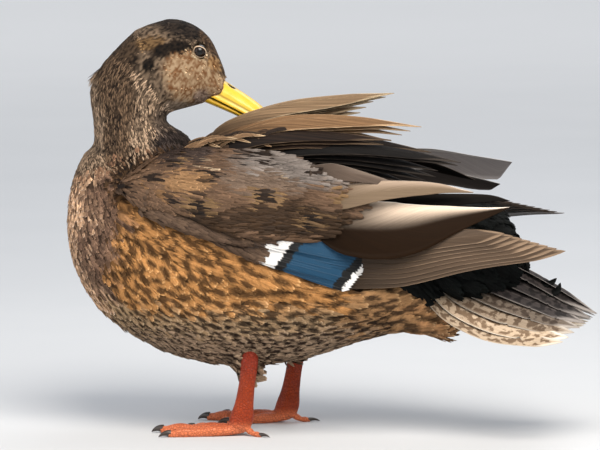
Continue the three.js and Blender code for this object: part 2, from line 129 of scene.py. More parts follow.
def add_node(tree, kind, wires=None, **settings):
    """A node with its settings, and its inputs given as values or as the wires that feed them."""
    made = tree.nodes.new(kind)
    for name, value in settings.items():
        setattr(made, name, value)
    for name, value in (wires or {}).items():
        if isinstance(value, Wire):
            tree.links.new(value.socket, made.inputs[name])
        else:
            made.inputs[name].default_value = value
    return made


def tree_of(values):
    return next(value.socket.id_data for value in values if isinstance(value, Wire))


def vector_maths(operation, *values, output=0):
    made = add_node(tree_of(values), "ShaderNodeVectorMath", dict(enumerate(values)), operation=operation)
    return Wire(made.outputs[output])


def paint(*codes):
    """Linear colours of sRGB codes such as 8a6a48, as rows of three."""
    rows = np.array([[int(code[i : i + 2], 16) / 255 for i in (0, 2, 4)] for code in codes])
    return np.where(rows <= 0.04045, rows / 12.92, ((rows + 0.055) / 1.055) ** 2.4)


def mixed(share, a, b, blend="MIX"):
    """Colours mixed by a share, each given as a wire, a code or four numbers."""
    a, b = ((*paint(value)[0], 1) if isinstance(value, str) else value for value in (a, b))
    wires = {0: share, 6: a, 7: b}
    tree = tree_of(wires.values())
    return Wire(add_node(tree, "ShaderNodeMix", wires, data_type="RGBA", blend_type=blend).outputs[2])


def graded(value, low, high, start=0.0, end=1.0):
    """The value's rise from low to high, eased, as a number from start to end."""
    wires = {"Value": value, "From Min": low, "From Max": high, "To Min": start, "To Max": end}
    tree = value.socket.id_data
    return Wire(add_node(tree, "ShaderNodeMapRange", wires, interpolation_type="SMOOTHSTEP").outputs[0])


def noise(place, scale, detail=2.0, roughness=0.5):
    wires = {"Vector": place, "Scale": scale, "Detail": detail, "Roughness": roughness}
    return Wire(add_node(place.socket.id_data, "ShaderNodeTexNoise", wires).outputs[0])


def vector_of(x, y, z=0.0):
    return Wire(add_node(tree_of((x, y, z)), "ShaderNodeCombineXYZ", {0: x, 1: y, 2: z}).outputs[0])


def new_material(name, roughness, **constants):
    """A material and its Principled shader, whose unchanging values sit on its own sockets."""
    material = bpy.data.materials.new(name)
    material.use_nodes = True
    shader = material.node_tree.nodes["Principled BSDF"]
    for socket, value in ({"Roughness": roughness} | constants).items():
        shader.inputs[socket.replace("_", " ")].default_value = value
    return material, shader


def feed(node, wires):
    for name, wire in wires.items():
        node.id_data.links.new(wire.socket, node.inputs[name])


def object_place(shader):
    return Wire(add_node(shader.id_data, "ShaderNodeTexCoord").outputs["Object"])


def mesh_object(name, vertices, faces, material=None):
    mesh = bpy.data.meshes.new(name)
    mesh.from_pydata([tuple(v) for v in vertices], [], faces)
    mesh.validate()
    made = bpy.data.objects.new(name, mesh)
    scene.collection.objects.link(made)
    if material:
        mesh.materials.append(material)
    mesh.shade_smooth()
    return made


paper, shader = new_material("pale floor", 0.9, Emission_Strength=1.0)
place = object_place(shader)
far_off = vector_maths("LENGTH", place, output="Value")
glow = graded(far_off, 0.7, 3.4, 0.0, 0.38)  # the far rim is lit as evenly as the middle
floor_colour = mixed(noise(place, 6.0), (0.60, 0.61, 0.62, 1), (0.65, 0.655, 0.665, 1))
feed(shader, {"Base Color": floor_colour, "Emission Color": vector_of(glow, glow, glow)})
SWEEP = [(0.8, 0), (7.4, 0), (8.2, 0.1), (8.7, 0.45), (9.0, 1.1), (9.1, 2.4)]  # distance out and height
AROUND = 64
corners = [
    (out * math.cos(turn), out * math.sin(turn), up)
    for out, up in SWEEP
    for turn in np.linspace(0, math.tau, AROUND, endpoint=False)
]
strips = [tuple(range(AROUND))]
for ring in range(len(SWEEP) - 1):
    for i in range(AROUND):
        j = (i + 1) % AROUND
        strips.append(tuple(ring * AROUND + k for k in (i, i + AROUND, j + AROUND, j)))
mesh_object("floor", corners, strips, paper)

# ---------------------------------------------------------------- The skin
# One closed hide over head, neck, trunk, rump and thighs, lying inside the plumage by its depth.
# The solids of the flesh are swollen until they meet, remeshed as one, smoothed and drawn in again.
FLESH = ("trunk", "neck", "head", "tail_coverts", "thigh_left", "thigh_right")
JOIN_SWELL = 0.5 * MM
SKIN_CELL = 1.7 * MM
HEAD_PITCH = math.radians(28)
eye_centres = {side: sum(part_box(f"eye_{side}"), Vector()) / 2 for side in ("left", "right")}
HEAD_LEFT = (eye_centres["left"] - eye_centres["right"]).normalized()
level = HEAD_LEFT.cross(Vector((0, 0, 1)))
HEAD_FORWARD = level * math.cos(HEAD_PITCH) - Vector((0, 0, 1)) * math.sin(HEAD_PITCH)
HEAD_UP = HEAD_FORWARD.cross(HEAD_LEFT)
HEAD_AXES = np.array([HEAD_FORWARD, HEAD_LEFT, HEAD_UP])
HEAD_CENTRE = np.array((eye_centres["left"] + eye_centres["right"]) / 2)


def in_head(x, y, z):
    """A place in the head: millimetres towards the bill, to its left and up from between the eyes."""
    return HEAD_CENTRE + np.array([x, y, z]) * MM @ HEAD_AXES


MERGE_WITHIN = 1e-6


def copy_of(name, swell=0.0):
    """A merged copy of a solid's mesh, swollen along its normals."""
    solid = bmesh.new()
    solid.from_mesh(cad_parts[name].data)
    bmesh.ops.remove_doubles(solid, verts=solid.verts, dist=MERGE_WITHIN)
    solid.normal_update()
    for vertex in solid.verts:
        vertex.co += vertex.normal * swell
    mesh = bpy.data.meshes.new(name + " copy")
    solid.to_mesh(mesh)
    solid.free()
    return mesh


def joined(label, pieces):
    """One object of several meshes, which are used up."""
    whole = bmesh.new()
    for piece in pieces:
        whole.from_mesh(piece)
        bpy.data.meshes.remove(piece)
    mesh = bpy.data.meshes.new(label)
    whole.to_mesh(mesh)
    whole.free()
    made = bpy.data.objects.new(label, mesh)
    scene.collection.objects.link(made)
    return made


def with_modifiers(thing, *modifiers):
    """Applies modifiers, given as (type, settings), and keeps only the mesh they make."""
    for kind, settings in modifiers:
        modifier = thing.modifiers.new(kind.title(), kind)
        for name, value in settings.items():
            setattr(modifier, name, value)
    graph = bpy.context.evaluated_depsgraph_get()
    made = bpy.data.meshes.new_from_object(
        thing.evaluated_get(graph), preserve_all_data_layers=True, depsgraph=graph
    )
    thing.modifiers.clear()
    thing.data = made
    return thing


def rows_of(items, name, width=3):
    """A property of every item in a Blender collection, as an array with a row for each."""
    flat = np.empty(len(items) * width, np.float32)
    items.foreach_get(name, flat)
    return flat.reshape(-1, width).astype(float)


def places_of(mesh):
    return rows_of(mesh.vertices, "co")


def move_vertices(mesh, places):
    mesh.vertices.foreach_set("co", places.astype(np.float32).ravel())
    mesh.update()


def normals_of(mesh):
    return rows_of(mesh.vertex_normals, "vector")


def rise(value, low, high):
    t = np.clip((value - low) / (high - low), 0, 1)
    return t * t * (3 - 2 * t)


# The line that the plumage flows along: bill, head, neck, breast, back and tail.
FLOW_LINE = np.array(
    [in_head(22, 0, -14), in_head(6, 0, -14), in_head(-14, 0, -14), in_head(-34, 0, -16)]
    + [at(40, -1, 232), at(44, -1, 211), at(51, 0, 188), at(66, 0, 160)]
    + [at(98, 0, 132), at(158, 0, 116), at(218, 0, 113), at(268, 0, 118), at(310, 0, 116)]
)
FLOW_BLEND = 9 * MM
FLOW_STEPS = 97
CORNER_ROUNDINGS = 12


def resampled(line, count):
    """Places at even steps along a line of places."""
    steps = np.linspace(0, len(line) - 1, count)
    return np.stack([np.interp(steps, range(len(line)), column) for column in line.T], 1)


def flow_at(points):
    """For each point: the distance along the flow line, the way of the flow and the turn about it."""
    line = resampled(FLOW_LINE, FLOW_STEPS)
    for _ in range(CORNER_ROUNDINGS):
        line[1:-1] = (line[:-2] + 2 * line[1:-1] + line[2:]) / 4
    ways = np.gradient(line, axis=0)
    lengths = np.linalg.norm(ways, axis=1)
    along = np.concatenate([[0], np.cumsum((lengths[1:] + lengths[:-1]) / 2)])
    ways /= lengths[:, None]
    away = np.linalg.norm(points[:, None] - line[None], axis=2)
    weights = np.exp((away.min(1, keepdims=True) - away) / FLOW_BLEND)
    weights /= weights.sum(1, keepdims=True)
    way = weights @ ways
    way /= np.linalg.norm(way, axis=1, keepdims=True)
    offset = points - weights @ line
    up = np.cross(way, [0.0, 1.0, 0.0])
    turn = np.arctan2(offset[:, 1], (offset * up).sum(1))
    return weights @ along, way, turn


skin = joined("skin", [copy_of(name, JOIN_SWELL) for name in FLESH])
with_modifiers(
    skin,
    ("REMESH", {"mode": "VOXEL", "voxel_size": SKIN_CELL, "use_smooth_shade": True}),
    ("SMOOTH", {"factor": 0.6, "iterations": 9}),
)
skin_places = places_of(skin.data)
along, way, turn = flow_at(skin_places)
COAT_DEPTH = ([0, 25, 70, 120, 420, 460], [0.7, 1.2, 1.7, 2.6, 2.6, 2.2])  # along the flow, millimetres
THIGH_THINNER = 1.4
depth = np.interp(along / MM, *COAT_DEPTH) * MM + JOIN_SWELL
depth -= rise(-skin_places[:, 2], -60 * MM, -48 * MM) * THIGH_THINNER * MM
skin_places -= normals_of(skin.data) * depth[:, None]
inside = (skin_places - HEAD_CENTRE) @ HEAD_AXES.T / MM
lobe = rise(inside[:, 0], 10, 24) * rise(inside[:, 2], -27, -16)
brow = rise(inside[:, 2], -14, -6)
push = HEAD_AXES[0] - (0.12 + 0.55 * brow)[:, None] * HEAD_AXES[2]
skin_places += (MM * lobe * (4.6 - 1.6 * brow))[:, None] * push  # the feathered edge slants over the bill
move_vertices(skin.data, skin_places)


def set_attribute(mesh, name, kind, values):
    made = mesh.attributes.new(name, kind, "POINT")
    key = {"FLOAT": "value", "INT": "value", "QUATERNION": "value", "FLOAT_COLOR": "color"}
    values = np.asarray(values, np.int32 if kind == "INT" else np.float32)
    made.data.foreach_set(key.get(kind, "vector"), values.ravel())


def get_attribute(mesh, name, width):
    rows = rows_of(mesh.attributes[name].data, {1: "value", 3: "vector"}[width], width)
    return rows[:, 0] if width == 1 else rows


def set_colours(mesh, **colours):
    for name, rows in colours.items():
        set_attribute(mesh, name, "FLOAT_COLOR", np.column_stack([rows, np.ones(len(rows))]))

# ---------------------------------------------------------------- Head and neck plumage
# Velvety feathers of two or three millimetres on the head, longer down the neck, dappled dark and
# light: a dark crown and eye stripe over buff cheeks, and a dark band down the nape. Each is a tuft of
# barbs rooted in the skin, lying back along the flow line and lifted a little at its tip.


def new_group(name, inputs, outputs):
    """An empty group of nodes with named sockets; gives the tree, its inputs and its outputs."""
    tree = bpy.data.node_groups.new(name, "ShaderNodeTree")
    for direction, sockets in (("INPUT", inputs), ("OUTPUT", outputs)):
        for label, kind in sockets.items():
            tree.interface.new_socket(label, in_out=direction, socket_type="NodeSocket" + kind)
    entry, leave = tree.nodes.new("NodeGroupInput"), tree.nodes.new("NodeGroupOutput")
    return tree, {label: Wire(entry.outputs[label]) for label in inputs}, leave


def parts_of(wire):
    return [Wire(socket) for socket in add_node(tree_of([wire]), "ShaderNodeSeparateXYZ", {0: wire}).outputs]


def most(first, *others):
    for other in others:
        first = first.does("MAXIMUM", other)
    return first


def span_of(a, b):
    return (a * a + b * b).does("SQRT")


# The nodes that paint every feather, from what it carries: its ground, mark and edge colours, how
# strongly it is ringed, spotted and barred, its place on the vane and a chance number of its own.
PLUMAGE_INPUTS = {"Ground": "Color", "Mark": "Color", "Edge": "Color", "Vane": "Vector", "Figure": "Vector"}
PLUMAGE_INPUTS |= dict.fromkeys(("Chance", "Span", "Marking", "Edge Width", "Lower Web"), "Float")
PLUMAGE_INPUTS |= dict.fromkeys(("Dark Root", "Root End", "Marbled", "Barbs", "Strands"), "Float")
plumage, given, result = new_group("plumage", PLUMAGE_INPUTS, {"Color": "Color", "Height": "Float"})
aside, out, _ = parts_of(given["Vane"])  # from -1 to 1 across the vane, and from 0 to 1 along it
ringed, spotted, barred = parts_of(given["Figure"])
across = abs(aside)
seed = given["Chance"] * 91.0
barb_mm = (out - across * 0.3) * given["Span"]  # barbs leave the shaft at a slant
on_barb = vector_of(barb_mm, across, seed)
streak = noise(on_barb, 2.2, 3.0, 0.65)
strand = noise(on_barb, 0.3, 4.0, 0.7)
waver = noise(vector_of(aside, out, seed), 2.6) - 0.5


def off_shaft(centre, stretch):
    """How far from a place on the shaft, wavering a little, with the vane's half width as 1."""
    return waver * 0.55 + span_of(aside, (out - centre) * stretch)


ring = graded(abs(off_shaft(0.5, 1.7) - 0.6), 0.28, 0.12) * graded(out + given["Chance"] * 0.4, 0.45, 0.8)
core = graded(off_shaft(0.55, 1.3), 0.36, 0.2)
spot = graded(off_shaft(0.8, 1.6), 0.6, 0.38)
bars = graded((waver * 9.0 + barb_mm * 4.4).does("SINE"), -0.1, 0.6)
figured = most(most(ring, core) * ringed, spot * spotted, bars * barred)
figured = figured * graded(streak, 0.15, 0.6, 0.35, 1.0)
lower_web = graded(aside, 1.15, -0.15) * given["Lower Web"]
dark_root = graded(aside * 0.16 + out - given["Root End"], 0.0, -0.5) * given["Dark Root"]
clouds = noise(vector_of(out * given["Span"] * 0.24, aside * 1.5, seed), 1.0, 3.0)
marbled = graded(clouds, 0.46, 0.56) * given["Marbled"] * graded(across, 0.95, 0.7)
overlaid = given["Marking"] * graded(streak, 0.1, 0.5, 0.75, 1.0)
marked = most(figured, lower_web, dark_root, marbled, overlaid)
to_edge = waver * 0.12 + most(across, (out + across * 0.18) * 0.97)
edged = graded(to_edge, 1.0 - given["Edge Width"], 1.0) * (1.0 - lower_web) * (1.0 - given["Marking"])
shaft = graded(across, 0.07, 0.02)
colour = mixed(marked, given["Ground"], given["Mark"])
colour = mixed(edged, colour, given["Edge"])
colour = mixed(shaft * (marked * -0.18 + 0.18), colour, given["Edge"])
barb_shade = (graded(streak, 0.2, 0.8, 0.58, 1.36) - 1.0) * given["Barbs"] + 1.0
strand_shade = (graded(strand, 0.35, 0.65, 0.45, 1.45) - 1.0) * given["Strands"] + 1.0
# each feather darkens towards its root: partly its darker down, partly painted shade where the feathers over
# it cover it
shade = graded(out, 0.0, 0.5, 0.55, 1.0) * barb_shade * strand_shade
shade = shade * graded(given["Chance"], 0.0, 1.0, 0.88, 1.12)
colour = mixed(1.0, colour, vector_of(shade, shade, shade), "MULTIPLY")
feed(result, {"Color": colour, "Height": streak + shaft * 0.8})


def bumped(shader, height, distance):
    bump = add_node(shader.id_data, "ShaderNodeBump", {"Height": height, "Distance": distance * MM})
    feed(shader, {"Normal": Wire(bump.outputs[0])})


def carried(shader, name, output="Vector"):
    """An attribute of the mesh, for a material to read."""
    return Wire(add_node(shader.id_data, "ShaderNodeAttribute", attribute_name=name).outputs[output])


def feather_material(name, edge_width, roughness, bump=0.12, specular=0.15, **figures):
    """Plumage from the one group; `figures` are its other inputs, such as marbled=0.9."""
    material, shader = new_material(name, roughness, Specular_IOR_Level=specular)
    own = add_node(shader.id_data, "ShaderNodeGroup", node_tree=plumage)
    for label, value in ({"edge_width": edge_width, "barbs": 1.0, "root_end": 0.6} | figures).items():
        own.inputs[label.replace("_", " ").title()].default_value = value
    for label in ("Ground", "Mark", "Edge", "Vane", "Figure", "Chance", "Span", "Marking"):
        output = {"Color": "Color", "Vector": "Vector", "Float": "Fac"}[PLUMAGE_INPUTS[label]]
        feed(own, {label: carried(shader, label.lower(), output)})
    feed(shader, {"Base Color": Wire(own.outputs["Color"])})
    bumped(shader, Wire(own.outputs["Height"]), bump)
    return material


def lock(path, half, height):
    """One lock of barbs: a thin leaf along a path of places, closing to a point."""
    path = np.asarray(path, float)
    way = np.gradient(path, axis=0)
    side = np.stack([-way[:, 1], way[:, 0]], 1)
    side /= np.linalg.norm(side, axis=1, keepdims=True)
    widths = half * np.array([0.55, 1.0, 0.8, 0.0])[-len(path) :, None]
    rows = [(p + side[i] * widths[i] * k) for i, p in enumerate(path[:-1]) for k in (1, -1)]
    flat = np.array(rows + [path[-1]])
    faces = [(i, i + 1, i + 3, i + 2) for i in range(0, len(rows) - 2, 2)]
    faces.append((len(rows) - 2, len(rows) - 1, len(rows)))
    return np.column_stack([flat, np.full(len(flat), height)]), faces


def feather_shape(name, locks, droop, camber):
    """A feather of unit length and width along X, from (path, half width, height) of its locks."""
    vertices, faces = [], []
    for path, half, height in locks:
        made, corners = lock(path, half, height)
        faces += [tuple(c + len(vertices) for c in face) for face in corners]
        vertices += made.tolist()
    flat = np.array(vertices)
    across, along = np.clip(flat[:, 1] * 2, -1, 1), np.clip(flat[:, 0], 0, 1)
    flat[:, 2] -= droop * along**2 + camber * across**2
    shape = mesh_object(name, flat, faces)
    set_attribute(shape.data, "vane", "FLOAT_VECTOR", np.column_stack([across, along, 0 * along]))
    return shape


def tuft_shapes(name, count, strands, rng):
    shapes = []
    for number in range(count):
        locks = []
        for strand in range(strands):
            turn = (strand / (strands - 1) - 0.5) * 0.75 + rng.uniform(-0.08, 0.08)
            reach = rng.uniform(0.82, 1.05)
            path = [(r * reach, turn * r * rng.uniform(0.85, 1.1)) for r in (0.0, 0.5, 1.0)]
            locks.append((path, 0.2, rng.uniform(0, 0.05)))
        shapes.append(feather_shape(f"{name} {number}", locks, 0.16, 0.04))
    return shapes


def geometry_tree(name, inputs):
    """An empty geometry tree with its named inputs; gives the tree, its inputs and its end."""
    tree = bpy.data.node_groups.new(name, "GeometryNodeTree")
    inputs = {"Geometry": "Geometry"} | inputs
    for label, kind in inputs.items():
        tree.interface.new_socket(label, in_out="INPUT", socket_type="NodeSocket" + kind)
    tree.interface.new_socket("Geometry", in_out="OUTPUT", socket_type="NodeSocketGeometry")
    entry, leave = tree.nodes.new("NodeGroupInput"), tree.nodes.new("NodeGroupOutput")
    return tree, {label: Wire(entry.outputs[label]) for label in inputs}, leave


def grown(label, source, tree, **values):
    """What a geometry tree makes of a source mesh, as a plain mesh object."""
    carrier = bpy.data.objects.new(label, source)
    scene.collection.objects.link(carrier)
    modifier = carrier.modifiers.new(tree.name, "NODES")
    modifier.node_group = tree
    for socket in tree.interface.items_tree:
        if socket.name in values:
            modifier[socket.identifier] = values[socket.name]
    return with_modifiers(carrier)


def geometry_node(tree, kind, wires, output=0, **settings):
    return Wire(add_node(tree, "GeometryNode" + kind, wires, **settings).outputs[output])


def named(tree, name, kind="FLOAT"):
    return geometry_node(tree, "InputNamedAttribute", {"Name": name}, data_type=kind)


scatter, given, result = geometry_tree(
    "roots over the skin", {"Spacing": "Float", "Density": "Float", "Share": "String", "Seed": "Int"}
)
spread = add_node(
    scatter,
    "GeometryNodeDistributePointsOnFaces",
    {"Mesh": given["Geometry"], "Distance Min": given["Spacing"], "Density Max": given["Density"]}
    | {"Density Factor": named(scatter, given["Share"]), "Seed": given["Seed"]},
    distribute_method="POISSON",
)
points, outward = (Wire(spread.outputs[label]) for label in ("Points", "Normal"))
wires = {"Geometry": points, "Name": "outward", "Value": outward}
dots = geometry_node(scatter, "StoreNamedAttribute", wires, data_type="FLOAT_VECTOR")
feed(result, {"Geometry": geometry_node(scatter, "PointsToVertices", {"Points": dots})})

plant, given, result = geometry_tree("a feather at each root", {"Shapes": "Collection", "Finish": "Material"})
wires = {"Collection": given["Shapes"], "Separate Children": True, "Reset Children": True}
wires = {
    "Points": given["Geometry"],
    "Instance": geometry_node(plant, "CollectionInfo", wires),
    "Pick Instance": True,
    "Instance Index": named(plant, "picked", "INT"),
    "Rotation": named(plant, "turned", "QUATERNION"),
    "Scale": named(plant, "sized", "FLOAT_VECTOR"),
}
planted = geometry_node(plant, "InstanceOnPoints", wires)
real = geometry_node(plant, "RealizeInstances", {"Geometry": planted})
finished = geometry_node(plant, "SetMaterial", {"Geometry": real, "Material": given["Finish"]})
feed(result, {"Geometry": finished})


def unit(rows):
    return rows / np.linalg.norm(rows, axis=-1, keepdims=True)


def along_surface(ways, normals):
    return unit(ways - normals * (ways * normals).sum(1, keepdims=True))


def laid(ways, normals, pitch, swerve):
    """Axes of feathers laid along their way, swerved sideways and pitched up from the skin."""
    ways = along_surface(ways, normals)
    sides = np.cross(normals, ways)
    ways = ways * np.cos(swerve)[:, None] + sides * np.sin(swerve)[:, None]
    lengths = ways * np.cos(pitch)[:, None] + normals * np.sin(pitch)[:, None]
    ups = normals * np.cos(pitch)[:, None] - ways * np.sin(pitch)[:, None]
    return np.stack([lengths, np.cross(ups, lengths), ups], 2)


def quaternions(m):
    """The turns of axes given as matrices, one row for each."""
    signs = ((1, 1, 1), (1, -1, -1), (-1, 1, -1), (-1, -1, 1))
    trace = np.diagonal(m, axis1=1, axis2=2)
    sizes = [np.sqrt(np.maximum(0, 1 + trace @ sign)) / 2 for sign in signs]
    twists = (m[:, 2, 1] - m[:, 1, 2], m[:, 0, 2] - m[:, 2, 0], m[:, 1, 0] - m[:, 0, 1])
    return np.stack([sizes[0], *map(np.copysign, sizes[1:], twists)], 1)


FLOW_LENGTH = 0.46  # metres along the flow line that the unwrap takes in


def unwrapped(along, turn):
    """A place on the unwrap of the skin: along the flow line and round it, with the seam below."""
    return np.stack([along / FLOW_LENGTH, turn / math.tau + 0.5], 1) * 0.97 + 0.012


def set_bake_map(mesh, spots):
    corner = np.empty(len(mesh.loops), np.int32)
    mesh.loops.foreach_get("vertex_index", corner)
    mesh.uv_layers.new(name="OFBake").data.foreach_set("uv", spots[corner].astype(np.float32).ravel())


def drop_attributes(mesh, *names):
    for name in names:
        if name in mesh.attributes:
            mesh.attributes.remove(mesh.attributes[name])


def keep(piece, nodes=()):
    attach(piece, "root")
    if nodes:
        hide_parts(*nodes)


def plant_feathers(
    name, roots, shapes, finish, length, width, pitch, swerve, patch, colours, rng, marks=None
):
    """Plants feathers at roots, a dict of place, outward, lie, along and turn.

    `patch` is the width of a feather on the map that is baked, at its root's place on the unwrap.
    """
    count = len(roots["place"])
    dots = bpy.data.meshes.new(name)
    dots.from_pydata(roots["place"], [], [])

    def spread(value, part):
        return value * (1 + rng.uniform(-part, part, count))

    axes = laid(roots["lie"], roots["outward"], spread(pitch, 0.3), rng.normal(0, swerve, count))
    set_attribute(dots, "turned", "QUATERNION", quaternions(axes))
    sizes = np.stack([spread(length, 0.14), spread(width, 0.12), spread(length, 0.1)], 1)
    set_attribute(dots, "sized", "FLOAT_VECTOR", sizes)
    set_attribute(dots, "span", "FLOAT", sizes[:, 0] / MM)
    set_attribute(dots, "picked", "INT", rng.integers(0, len(shapes), count))
    set_attribute(dots, "chance", "FLOAT", rng.uniform(0, 1, count))
    home = unwrapped(roots["along"], roots["turn"])
    set_attribute(dots, "home", "FLOAT_VECTOR", np.column_stack([home, 0 * home[:, 0]]))
    ground, mark, edge, figures = colours
    set_colours(dots, ground=ground, mark=mark, edge=edge)
    set_attribute(dots, "figure", "FLOAT_VECTOR", figures)
    kinds = bpy.data.collections.new(name + " shapes")
    for shape in shapes:
        kinds.objects.link(shape)
    piece = grown(name, dots, plant, Shapes=kinds, Finish=finish)
    bpy.data.collections.remove(kinds)
    if marks:
        bare = piece.data
        bpy.data.objects.remove(piece)
        piece = grown(name, bare, marking, Marks=marks)
    home, vane = get_attribute(piece.data, "home", 3), get_attribute(piece.data, "vane", 3)
    set_bake_map(piece.data, home[:, :2] + (vane[:, :2] * [0.5, 1.0] + [0.5, 0.0]) * patch)
    drop_attributes(piece.data, "home", "turned", "sized", "picked")
    piece.data.shade_smooth()
    return piece


ROOTS_TRIED = 3.4  # for each square of the spacing


def scattered(surface, share, spacing, seed):
    """Roots over a surface where `share` is above nothing, about `spacing` metres apart."""
    set_attribute(surface, "share", "FLOAT", share)
    density = ROOTS_TRIED / spacing**2
    dots = grown("roots", surface, scatter, Spacing=spacing, Density=density, Share="share", Seed=seed)
    found = {"place": places_of(dots.data)}
    for label, width in (("outward", 3), ("lie", 3), ("along", 1), ("turn", 1)):
        found[label] = get_attribute(dots.data, label, width)
    bpy.data.objects.remove(dots)
    drop_attributes(surface, "share")
    return found


def give_flow(surface, lie, along, turn):
    set_attribute(surface, "lie", "FLOAT_VECTOR", lie)
    set_attribute(surface, "along", "FLOAT", along)
    set_attribute(surface, "turn", "FLOAT", turn)


def bump_of(value, low, high, soft):
    return rise(value, low - soft, low + soft) * (1 - rise(value, high - soft, high + soft))


normals = normals_of(skin.data)
along, way, turn = flow_at(skin_places)
local_x, local_z = (skin_places[:, 0] - BREAST_X) / MM, skin_places[:, 2] / MM
sag = 0.4 * bump_of(local_x, 40, 180, 14) * bump_of(local_z, 104, 160, 12)  # the flank's own slope
give_flow(skin.data, along_surface(way - sag[:, None] * [0, 0, 1], normals), along, turn)

DAPPLES = {  # dark and light of each ground
    "neck": ("30241a", "bda084"),
    "nape": ("1a120c", "78604a"),
    "cheek": ("a46a3c", "ffdbae"),
    "grey cheek": ("7c6050", "e8c8b0"),
    "crown": ("0d0907", "4c3f35"),
    "brow": ("2a1c14", "8a6c52"),
    "stripe": ("070504", "382c22"),
    "tan": ("46301c", "b08a5e"),
    "lore": ("885428", "ffcc90"),
    "chin": ("8a7460", "e4cab0"),
    # throat and hollow are dark partly as painted shade in the crevice where the neck meets the back
    "throat": ("2c221c", "8a7666"),
    "hollow": ("120e0c", "453a35"),
    "lid": ("a07c54", "ffe4bc"),
    "shoulder": ("3c2c20", "80634c"),
    # the next ground is a painted shadow that the neck's base casts on the shoulder
    "nightfall": ("1d1512", "51423a"),
    "buff": ("5a452e", "8a6c4a"),
    "ochre": ("66492c", "967250"),
    "pale fleck": ("927c64", "c4ac8c"),
    "bark": ("0f0a07", "2e2016"),
    "silk": ("5a504a", "91867d"),
    "low silk": ("4e3d30", "7c6858"),
    "umber": ("1c120b", "46321f"),
    "vermiculated": ("6e4f34", "b58c62"),
    "covert": ("45342a", "66513f"),
}
HEAD_PATCHES = [  # ground, then centre, reach and turn of an oval in the head's side view
    ("nape", -52, -22, 24, 16, -50),
    ("cheek", 3, -20, 25, 18, -28),
    ("cheek", 20, -17, 9, 10, 0),
    ("grey cheek", 15, -27, 6, 6, 0),
    ("chin", 12, -40, 17, 7, 12),
    ("tan", -32, -11, 11, 5, 35),
    ("crown", -16, 15, 36, 15, 12),
    ("brow", 4, 8, 11, 5.5, -28),
    ("brow", 18, -1, 10, 5, -45),
    ("stripe", -14, -4, 10, 4.2, 24),
    ("stripe", -24, -12, 9, 4.8, 50),
    ("stripe", -27, -24, 4, 6, 0),
    ("lore", 13, -3.5, 6, 4, -20),
    ("lid", 0, -1, 6.0, 5.4, 0),
]
NECK_PATCHES = [  # the same for the neck, behind the breast and above the floor
    ("nape", 36, 232, 15, 34, 12),
    ("nape", 38, 196, 11, 22, 4),
    # the throat and hollow patches darken where the neck meets the back: painted shade in that crevice, over
    # the back's own dark feathers
    ("throat", 72, 208, 12, 12, 0),
    ("hollow", 78, 194, 18, 9, 0),
]


def oval(a, b, x, z, reach, height, turn):
    c, s = math.cos(math.radians(turn)), math.sin(math.radians(turn))
    along, across = (a - x) * c + (b - z) * s, (b - z) * c - (a - x) * s
    return 1 - rise(np.hypot(along / reach, across / height), 0.72, 1.12)


def side_view(points):
    return np.column_stack([(points[:, 0] - BREAST_X) / MM, points[:, 2] / MM])


def head_view(points):
    return ((points - HEAD_CENTRE) @ HEAD_AXES.T / MM)[:, [0, 2]]


HEAD_LAYERS = ((NECK_PATCHES, side_view), (HEAD_PATCHES, head_view))
CLUMPS = ((2.2 * MM, 0.2), (0.5 * MM, 0.15))  # size and strength


def dappled(points, base, layers, rng, contrast=1.0, jitter=0.8):
    """The colours of tufts at the points, each somewhere from dark to light."""
    dark, light = (np.repeat(paint(code), len(points), 0) for code in DAPPLES[base])
    jitter = rng.normal(0, jitter, (len(points), 2))
    for patches, seen in layers:
        view = seen(points) + jitter
        for ground, *place in patches:
            share = oval(view[:, 0], view[:, 1], *place)[:, None]
            dark, light = (c + share * (paint(code) - c) for c, code in zip((dark, light), DAPPLES[ground]))
    pick = 0.52 + contrast * (rng.beta(0.5, 0.5, (len(points), 1)) - 0.5)
    for grain, strength in CLUMPS:
        waves = rng.normal(0, 1, (3, 6)) / grain
        clump = np.sin(points @ waves + rng.uniform(0, math.tau, 6)).mean(1, keepdims=True)
        pick = pick + strength * clump * contrast
    pick = np.clip(pick, 0, 1)
    ground = dark + pick * (light - dark)
    none = np.zeros((len(points), 3))
    return ground, ground, ground * 1.15, none


def facing(thing):
    return BVHTree.FromObject(thing, bpy.context.evaluated_depsgraph_get())


SIDE_NAMES = ("left", "right")
COVERS = [n.format(s) for n in ("wing_{}_coverts", "wing_{}_speculum", "scapulars_{}") for s in SIDE_NAMES]
COVER_REACH = 6 * MM
covers = joined("covers", [copy_of(name) for name in COVERS])
cover_tree = facing(covers)
bpy.data.objects.remove(covers)
hits = [cover_tree.ray_cast(Vector(p), Vector(n), COVER_REACH)[0] for p, n in zip(skin_places, normals)]
under = np.array([hit is not None for hit in hits])
rng = np.random.default_rng(7)
seen = head_view(skin_places)
bare_round_eye = np.hypot((seen[:, 0] - 0.8) / 5.2, (seen[:, 1] + 0.9) / 4.4) < 1
head_tufts = tuft_shapes("tuft", 4, 3, rng)
soft = feather_material("head plumage", 0.1, 0.8, bump=0.05)
TUFT_BANDS = {  # along the flow in millimetres, spacing, length, width, pitch
    "head_plumage": (-14, 66, 0.76, 2.5, 1.1, 0.18),
    "neck_plumage": (62, 122, 0.95, 4.4, 1.2, 0.22),
}
TUFT_SUNK = 0.3 * MM
TUFT_PATCH = 0.003
for name, (start, end, spacing, length, width, pitch) in TUFT_BANDS.items():
    share = bump_of(along / MM, start, end, 3) * ~bare_round_eye
    roots = scattered(skin.data, share, spacing * MM, 11)
    roots["place"] -= roots["outward"] * TUFT_SUNK
    crest = 1 - rise(np.linalg.norm(roots["place"] - at(18, -2, 238), axis=1) / MM, 3, 9)  # ruffled nape
    colours = dappled(roots["place"], "neck", HEAD_LAYERS, rng)
    sizes = (1 + 0.9 * crest) * length * MM, width * MM, pitch + 0.3 * crest, 0.14, TUFT_PATCH
    keep(plant_feathers(name, roots, head_tufts, soft, *sizes, colours, rng))
for shape in head_tufts:
    bpy.data.objects.remove(shape)

